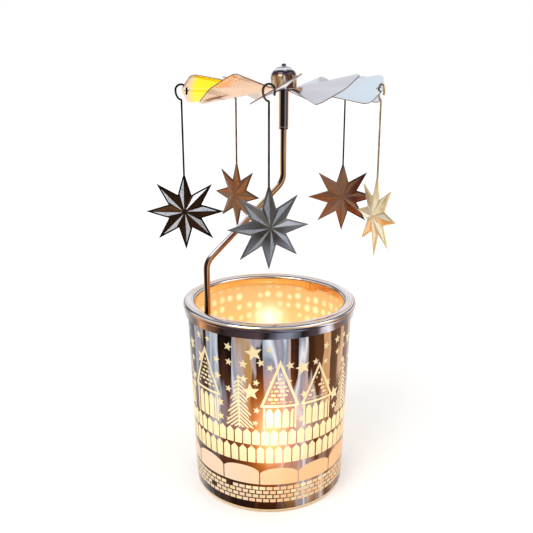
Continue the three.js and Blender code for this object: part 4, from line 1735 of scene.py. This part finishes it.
def build_bearing():
    """The bearing: a plug with a cone for the rod's point, its stem riveted over the dome."""
    size = bpy.context.scene.carousel_hub
    radius = (BEARING_HIGH.x - BEARING_LOW.x) / 2
    low = BEARING_LOW.z
    top = BEARING_HIGH.z
    pit = low + size.pit_depth
    shoulder = low + size.plug_height
    nub = size.nub_radius
    profile = [(0, pit), (size.pit_radius, pit), (size.pit_mouth, low), (radius, low)]
    profile += [(radius, shoulder), (nub, shoulder), (nub, top - size.nub_head)]
    profile += [(nub * 0.8, top - size.nub_round), (nub * 0.35, top), (0, top - size.nub_dimple)]
    bearing = turned("pivot_bearing_body", HUB, profile, SMALL_STEPS)
    soften(bearing, size.small_edge)
    dress(bearing, [dark_steel_finish()])
    finish_piece(bearing, "fan", ["pivot_bearing"])


def build_sleeve():
    """The sleeve: a tube round the rod, flanged under the sheet and crimped over it."""
    size = bpy.context.scene.carousel_hub
    sheet = bpy.context.scene.carousel_fan.sheet
    bore = bpy.context.scene.carousel_arm.radius + size.sleeve_play
    radius = bore + size.sleeve_wall
    flange = (SLEEVE_HIGH.x - SLEEVE_LOW.x) / 2
    under = HUB.z - sheet / 2 - size.crimp_play
    over = HUB.z + sheet / 2 + size.crimp_play
    low = SLEEVE_LOW.z
    groove = low + size.groove_height
    flange_low = under - size.flange_height
    profile = [(bore, low), (radius - size.bevel_width, low), (radius, low + size.bevel_height)]
    profile += [(radius, groove), (radius - size.groove_depth, groove + size.groove_depth)]
    profile += [(radius, groove + 2 * size.groove_depth), (radius, flange_low)]
    profile += [(flange, flange_low), (flange, under), (radius, under), (radius, over)]
    profile += [(size.crimp_radius, over), (size.crimp_radius, SLEEVE_HIGH.z), (bore, SLEEVE_HIGH.z)]
    sleeve = turned("hub_sleeve_body", HUB, [*profile, profile[0]], HUB_STEPS)
    soften(sleeve, size.small_edge)
    dress(sleeve, [sleeve_finish()])
    finish_piece(sleeve, "fan", ["hub_sleeve"])


# The star charms


PLAIN, SPARKLE, SMOOTH = range(3)  # which of a charm's three finishes a face gets


def charm_hook(size):
    """The open hook, without thickness: a round top, a longer lower half, and a gap beside the stem."""
    select_only()
    bpy.ops.mesh.primitive_circle_add(vertices=64, radius=size.hook_half_width, rotation=UPRIGHT)
    hook = named("charm_hook")
    narrow = 1 - size.hook_band / size.hook_half_width
    select_where(hook, "VERT", lambda corner: corner.z < -NEAR)
    stretch((1, 1, size.hook_tail / size.hook_half_width), AXIS)
    select_whole()
    draw_to((0, 0, 0))
    stretch((narrow, narrow, narrow), AXIS)

    def inner_lower(corner):
        across = corner.x / (size.hook_half_width * narrow)
        down = corner.z / (size.hook_tail * narrow)
        return corner.z < -NEAR and across**2 + down**2 < 1.05

    select_where(hook, "VERT", inner_lower)
    stretch((1, 1, (size.hook_tail - size.hook_band) / (size.hook_tail * narrow)), AXIS)
    overcut = 0.1 * MM  # the gap starts this far inside the stem's edge
    left = size.stem_width / 2 - overcut
    right = left + size.hook_gap + overcut

    def in_gap(middle):
        return left < middle.x < right and middle.z < -size.hook_half_width / 2

    select_where(hook, "FACE", in_gap)
    bpy.ops.mesh.delete(type="FACE")
    bpy.ops.object.mode_set(mode="OBJECT")
    return hook


STEM_STEPS = 8


def charm_stem(size):
    """The flat stem from the hook down into the star's top point."""
    top = -size.hook_tail + size.hook_band / 2
    foot = -size.reach + size.radius - size.stem_overlap
    stem = start_point("charm_stem", (-size.stem_width / 2, 0, top))
    draw_to((size.stem_width, 0, 0))
    select_whole()
    for i in range(STEM_STEPS):
        draw_to((0, 0, (foot - top) / STEM_STEPS))
    bpy.ops.object.mode_set(mode="OBJECT")
    return stem


def pressed_star(size, middle):
    """A wheel of facets: its valleys drawn in towards the middle, and the middle pressed forward."""
    select_only()
    bpy.ops.mesh.primitive_circle_add(
        vertices=2 * size.points, radius=size.radius, fill_type="TRIFAN", location=middle, rotation=UPRIGHT
    )
    star = named("charm_star")

    def in_valley(corner):
        away = corner - middle
        step = round(math.atan2(away.x, away.z) * size.points / math.pi)
        return away.length > size.radius / 2 and step % 2 == 1

    select_where(star, "VERT", in_valley)
    stretch((size.valley_share, 1, size.valley_share), middle)
    select_where(star, "VERT", lambda corner: (corner - middle).length < size.radius / 10)
    bpy.ops.transform.translate(value=(0, -size.relief, 0))
    return star


def leave_border(star, size):
    """Insets all facets as one, so that a plain border is left round the star."""
    bpy.ops.mesh.select_mode(type="FACE")
    select_whole()
    bpy.ops.mesh.inset(thickness=size.border, use_even_offset=True, use_edge_rail=True)
    bpy.ops.object.mode_set(mode="OBJECT")
    for face in star.data.polygons:
        face.material_index = SMOOTH if face.select else PLAIN
    bpy.ops.object.mode_set(mode="EDIT")


def cut_slivers(star, size, middle):
    """Cuts a sliver from each facet on one side of its ridge, for the sparkle, with a plain line round it."""
    part = math.pi / size.points
    for step in range(size.points // 2):
        angle = (2 * step - size.sparkle_share) * part
        select_whole()
        bpy.ops.mesh.bisect(
            plane_co=middle, plane_no=(math.cos(angle), 0, -math.sin(angle)), threshold=WELD
        )
    bpy.ops.object.mode_set(mode="OBJECT")
    for face in star.data.polygons:
        beside = math.atan2(face.center.x, face.center.y) / part % 2
        face.select = face.material_index == SMOOTH and beside > 2 - size.sparkle_share
        if face.select:
            face.material_index = SPARKLE
    bpy.ops.object.mode_set(mode="EDIT")
    bpy.ops.mesh.select_mode(type="FACE")
    bpy.ops.mesh.inset(thickness=size.ridge_line, use_individual=True, use_even_offset=True)
    bpy.ops.object.mode_set(mode="OBJECT")
    for face in star.data.polygons:
        if face.material_index == SPARKLE and not face.select:
            face.material_index = PLAIN


def charm_star(size):
    """The pressed star, without thickness: ridges, valleys, a plain border and slivers of sparkle."""
    middle = Vector((0, 0, -size.reach))
    star = pressed_star(size, middle)
    leave_border(star, size)
    cut_slivers(star, size, middle)
    return star


def charm_blank(size):
    """One charm in its own frame: the middle of the hook's top at the origin, its raised side to -Y.

    Its three blank materials keep apart what each face is to be, until the charm gets its own.
    """
    blanks = [bpy.data.materials.new("charm blank " + kind) for kind in ("plain", "sparkle", "smooth")]
    parts = [charm_hook(size), charm_stem(size), charm_star(size)]
    for part in parts:
        for blank in blanks:
            part.data.materials.append(blank)
        select_only(part)
        bpy.ops.object.transform_apply(location=True, rotation=True, scale=True)
    charm = joined(parts)
    bpy.ops.object.mode_set(mode="EDIT")
    close_skin()
    apply_modifier(charm, "SOLIDIFY", thickness=size.sheet, offset=0.0, use_even_offset=False, use_rim=True)
    soften(charm, size.edge, 70)
    return charm


def build_charms():
    """Five copies of one charm, each hung at its hook and turned as its plate hangs."""
    size = bpy.context.scene.carousel_charm
    blank = charm_blank(size)
    for number, look in enumerate(CHARM_LOOKS, 1):
        joint = JOINTS[f"star_swing_{number}"]
        front = Vector(joint["axis"])
        if front.y > 0:
            front = -front
        charm = copy_of(blank, f"star_{number}_body")
        charm.location = joint["pos_m"]
        charm.rotation_euler = (0, 0, math.atan2(front.x, -front.y))
        middle = Vector(joint["pos_m"]) - Vector((0, 0, size.reach))
        for kind, make in ((PLAIN, wire_finish), (SPARKLE, sparkle_finish), (SMOOTH, facet_finish)):
            charm.data.materials[kind] = make(look, middle)
        finish_piece(charm, f"star_{number}", [f"star_charm_{number}"], 20)
    bpy.data.objects.remove(blank)


# The tealight


def pleat(cup, size, radius):
    """Presses every second corner of the cup's outer wall in."""
    part = math.pi / size.flutes
    low = TEALIGHT_LOW.z + size.foot_round / 2
    high = TEALIGHT_HIGH.z - size.rim_depth / 2

    def in_pleat(corner):
        step = round(math.atan2(corner.y, corner.x) / part)
        outside = math.hypot(corner.x, corner.y) > radius - size.sheet / 2
        return step % 2 == 1 and outside and low < corner.z < high

    bpy.ops.object.mode_set(mode="EDIT")
    select_where(cup, "VERT", in_pleat)
    shrink = 1 - size.flute_depth / radius
    stretch((shrink, shrink, 1), AXIS)
    bpy.ops.object.mode_set(mode="OBJECT")


def build_foil_cup():
    """The aluminium cup, pleated finely round its wall."""
    size = bpy.context.scene.carousel_tealight
    rim = TEALIGHT_HIGH.x
    radius = rim - size.rim_out
    low = TEALIGHT_LOW.z
    top = TEALIGHT_HIGH.z
    bend = size.foot_round
    inner = bend - size.sheet
    profile = [(0, low), *arc((radius - bend, low + bend), (bend, bend), -90, 0, 5)]
    profile += [(radius, top - size.rim_depth), (rim, top - size.rim_depth * 0.7)]
    profile += [(rim, top - size.rim_bevel), (rim - size.rim_bevel, top), (radius - size.sheet, top)]
    profile += arc((radius - bend, low + bend), (inner, inner), 0, -90, 5)
    profile += [(0, low + size.sheet)]
    cup = turned("tealight_foil", AXIS, profile, 2 * size.flutes)
    pleat(cup, size, radius)
    dress(cup, [foil_finish()])
    finish_piece(cup, "tealight", ["tealight_cup"], 60)


POOL_STEPS = 12


def build_wax():
    """The wax, with a shallow melted pool round the wick."""
    size = bpy.context.scene.carousel_tealight
    radius = WAX_HIGH.x
    low = WAX_LOW.z
    top = WAX_HIGH.z
    bore = size.wick_radius + size.wick_play
    collar = low + size.collar_height
    recess = low + size.recess_height
    shore = radius - size.ledge
    profile = [(bore, collar), (size.collar_radius, collar), (size.collar_radius, recess)]
    profile += [(size.recess_radius, recess), (size.recess_radius, low)]
    profile += [(radius - size.foot_round, low), (radius, low + size.foot_round)]
    profile += [(radius, top - size.wax_bevel_drop), (radius - size.wax_bevel, top)]
    for i in range(POOL_STEPS + 1):
        along = i / POOL_STEPS
        sink = size.pool_depth * (1 - (1 - along) ** 2) * (1 - 0.35 * along**6)
        profile.append((shore - (shore - bore) * along, top - sink))
    wax = turned("tealight_wax_body", AXIS, [*profile, profile[0]], 96)
    dress(wax, [wax_finish()])
    finish_piece(wax, "tealight", ["tealight_wax"])


def build_sustainer():
    """The wick's foot: a thin disc with a short collar."""
    size = bpy.context.scene.carousel_tealight
    low = FOOT_LOW.z
    top = FOOT_HIGH.z
    radius = FOOT_HIGH.x
    bore = size.foot_bore
    sheet = size.foot_sheet
    profile = [(bore, low), (radius, low), (radius, low + sheet), (bore + sheet * 1.5, low + sheet)]
    profile += [(bore + sheet * 0.9, low + sheet * 1.6), (bore + sheet * 0.9, top), (bore, top)]
    foot = turned("wick_foot", AXIS, [*profile, profile[0]], SMALL_STEPS)
    dress(foot, [tinplate_finish()])
    finish_piece(foot, "tealight", ["wick_sustainer"])


WICK_STEPS = 8
WICK_TURN = math.radians(3)


def build_wick():
    """The braided wick, extruded up and bent over by turning each step a little."""
    size = bpy.context.scene.carousel_tealight
    radius = size.wick_radius
    select_only()
    bpy.ops.mesh.primitive_circle_add(vertices=16, radius=radius, location=(0, 0, WICK_LOW.z))
    wick = named("wick_braid")
    select_whole()
    here = Vector((0, 0, WAX_HIGH.z + size.wick_straight))
    draw_to((0, 0, here.z - WICK_LOW.z))
    tip_rise = 0.3 * MM  # the tilted end's edge stands this much over its middle
    rise = (WICK_HIGH.z - tip_rise - here.z) / WICK_STEPS
    lean = (WICK_HIGH.x - radius) / WICK_STEPS
    for i in range(WICK_STEPS):
        step = Vector((lean * 2 * (i + 1) / (WICK_STEPS + 1), 0, rise))
        draw_to(step)
        here += step
        rotate(WICK_TURN, "Y", here)
        swell = 1.05 if i % 2 else 0.95
        stretch((swell, swell, 1), here)
    select_whole()
    bpy.ops.mesh.fill_holes(sides=0)
    close_skin()
    dress(wick, [wick_finish()])
    finish_piece(wick, "tealight", ["wick"])


FLAME_STEPS = 20


def build_flame():
    """The flame over the wick: a slender drop."""
    size = bpy.context.scene.carousel_tealight
    foot = WICK_HIGH.z - size.flame_drop
    profile = [(0, foot)]
    for i in range(1, FLAME_STEPS):
        along = i / FLAME_STEPS
        width = size.flame_radius * math.sin(math.pi * along**0.62) * (1 - along) ** 0.35 * 1.15
        profile.append((width, foot + size.flame_height * along))
    profile.append((0, foot + size.flame_height))
    flame = turned("candle_flame", Vector((WICK_HIGH.x / 2, 0, 0)), profile, 32)
    dress(flame, [flame_finish()])
    finish_piece(flame, "tealight", [], 180)


# The studio


def build_world():
    """A white room. Mirrors also see soft dark gaps between its screens, as in a photographer's tent."""
    stage = bpy.context.scene.carousel_stage
    world = bpy.data.worlds.new("white room")
    bpy.context.scene.world = world
    world.use_nodes = True
    tree = world.node_tree
    path = tree.nodes.new("ShaderNodeLightPath")
    seen = Wire(tree, path.outputs["Is Camera Ray"])
    through = Wire(tree, path.outputs["Is Transmission Ray"])
    mirrored = Wire(tree, path.outputs["Is Glossy Ray"])
    coordinates = tree.nodes.new("ShaderNodeTexCoord")
    x, y, z = Wire(tree, coordinates.outputs["Generated"]).split()
    gap = (y.math("ARCTAN2", x) * 3.0 + 0.6).math("SINE").above(0.86, 0.18)
    low = z.below(0.55, 0.4) * z.above(-0.35, 0.3)
    screens = 1.0 - both(gap, low) * 0.72
    plain = either(seen, through, mirrored * screens)
    direct = either(seen, through, mirrored)
    background = tree.nodes["Background"]
    feed(background.inputs["Strength"], plain * direct + (1.0 - direct) * stage.fill)
    feed(background.inputs["Color"], (1.0, 1.0, 1.0, 1.0))


def build_floor():
    """A pale floor that runs out into the white of the room and keeps the object's shadow."""
    stage = bpy.context.scene.carousel_stage
    select_only()
    bpy.ops.mesh.primitive_circle_add(
        vertices=128, radius=stage.floor_radius, fill_type="NGON", location=(0, 0, -stage.floor_drop)
    )
    floor = bpy.context.object
    floor.name = "floor"
    finish, give, place = new_material("pale floor", Emission_Strength=1.0)
    x, y, z = place.split()
    far = span(x, y).above(0.30, 0.36)
    give("Base Color", blended(far, stage.floor, BLACK))
    give("Roughness", noise(place, 140.0, 2.0) * 0.1 + 0.5)
    give("Emission Color", blended(far, tint(96, 96, 96), (1.0, 1.0, 1.0)))
    floor.data.materials.append(finish)


LAMP_AIM = Vector((0, 0, 0.08))
LAMPS = [  # name, place, width, power and colour
    ("key", Vector((-0.5, -0.6, 0.8)), 0.6, 5.0, (1.0, 0.99, 0.97)),
    ("fill", Vector((0.7, -0.3, 0.5)), 0.7, 2.0, (0.95, 0.97, 1.0)),
]


def build_lamps():
    """Two soft square lamps that give the shapes a light side and a soft shadow."""
    for name, place, width, power, shade in LAMPS:
        select_only()
        bpy.ops.object.light_add(type="AREA", location=place)
        lamp = bpy.context.object
        lamp.name = name
        lamp.data.shape = "SQUARE"
        lamp.data.size = width
        lamp.data.energy = power
        lamp.data.color = shade
        lamp.rotation_euler = (LAMP_AIM - place).to_track_quat("-Z", "Y").to_euler()


def build_camera():
    """The camera, where the photograph was taken from."""
    stage = bpy.context.scene.carousel_stage
    place = (-stage.camera_side, -stage.camera_distance, stage.camera_height)
    aim = (math.radians(90) - stage.camera_pitch, 0, 0)
    select_only()
    bpy.ops.object.camera_add(location=place, rotation=aim)
    camera = bpy.context.object
    camera.data.lens = stage.focal_length
    camera.data.sensor_width = 36.0
    camera.data.clip_start = 0.01
    camera.data.clip_end = 100.0
    bpy.context.scene.camera = camera


# The add-on


class BuildOperator:
    """What every operator here has in common: it runs its steps and reports success."""

    bl_options = {"REGISTER", "UNDO"}
    steps = ()

    def execute(self, context):
        for step in self.steps:
            step()
        return {"FINISHED"}


class CAROUSEL_OT_glass(BuildOperator, bpy.types.Operator):
    """Model the silvered glass cup"""

    bl_idname = "carousel.glass"
    bl_label = "Glass cup"
    steps = (build_glass,)


class CAROUSEL_OT_ring(BuildOperator, bpy.types.Operator):
    """Model the rolled ring with its tab and seam"""

    bl_idname = "carousel.ring"
    bl_label = "Rim ring"
    steps = (build_rim_ring,)


class CAROUSEL_OT_arm(BuildOperator, bpy.types.Operator):
    """Model the bent rod and its weld"""

    bl_idname = "carousel.arm"
    bl_label = "Support arm"
    steps = (build_support_arm, build_weld)


class CAROUSEL_OT_fan(BuildOperator, bpy.types.Operator):
    """Model the stamped fan"""

    bl_idname = "carousel.fan"
    bl_label = "Fan"
    steps = (build_fan_sheet,)


class CAROUSEL_OT_hub(BuildOperator, bpy.types.Operator):
    """Model the dome, the bearing and the sleeve"""

    bl_idname = "carousel.hub"
    bl_label = "Hub"
    steps = (build_dome, build_bearing, build_sleeve)


class CAROUSEL_OT_charms(BuildOperator, bpy.types.Operator):
    """Model the five star charms"""

    bl_idname = "carousel.charms"
    bl_label = "Star charms"
    steps = (build_charms,)


class CAROUSEL_OT_tealight(BuildOperator, bpy.types.Operator):
    """Model the tealight and its flame"""

    bl_idname = "carousel.tealight"
    bl_label = "Tealight"
    steps = (build_foil_cup, build_wax, build_sustainer, build_wick, build_flame)


class CAROUSEL_OT_stage(BuildOperator, bpy.types.Operator):
    """Set up the white room, the floor, the lamps and the camera"""

    bl_idname = "carousel.stage"
    bl_label = "Stage"
    steps = (build_world, build_floor, build_lamps, build_camera)


OPERATORS = (
    CAROUSEL_OT_glass,
    CAROUSEL_OT_ring,
    CAROUSEL_OT_arm,
    CAROUSEL_OT_fan,
    CAROUSEL_OT_hub,
    CAROUSEL_OT_charms,
    CAROUSEL_OT_tealight,
    CAROUSEL_OT_stage,
)


class CAROUSEL_PT_panel(bpy.types.Panel):
    """Lists the steps that model the carousel"""

    bl_idname = "CAROUSEL_PT_panel"
    bl_label = "Candle Carousel"
    bl_space_type = "VIEW_3D"
    bl_region_type = "UI"
    bl_category = "Carousel"

    def draw(self, context):
        for operator in OPERATORS:
            self.layout.operator(operator.bl_idname)


def register():
    for settings in SETTINGS.values():
        bpy.utils.register_class(settings)
    for name, settings in SETTINGS.items():
        setattr(bpy.types.Scene, name, PointerProperty(type=settings))
    for operator in OPERATORS:
        bpy.utils.register_class(operator)
    bpy.utils.register_class(CAROUSEL_PT_panel)


def unregister():
    bpy.utils.unregister_class(CAROUSEL_PT_panel)
    for operator in reversed(OPERATORS):
        bpy.utils.unregister_class(operator)
    for name, settings in SETTINGS.items():
        delattr(bpy.types.Scene, name)
        bpy.utils.unregister_class(settings)


def main():
    register()
    bpy.context.scene.view_settings.view_transform = "Standard"
    bpy.ops.carousel.glass()
    bpy.ops.carousel.ring()
    bpy.ops.carousel.arm()
    bpy.ops.carousel.fan()
    bpy.ops.carousel.hub()
    bpy.ops.carousel.charms()
    bpy.ops.carousel.tealight()
    bpy.ops.carousel.stage()


if __name__ == "__main__":
    main()
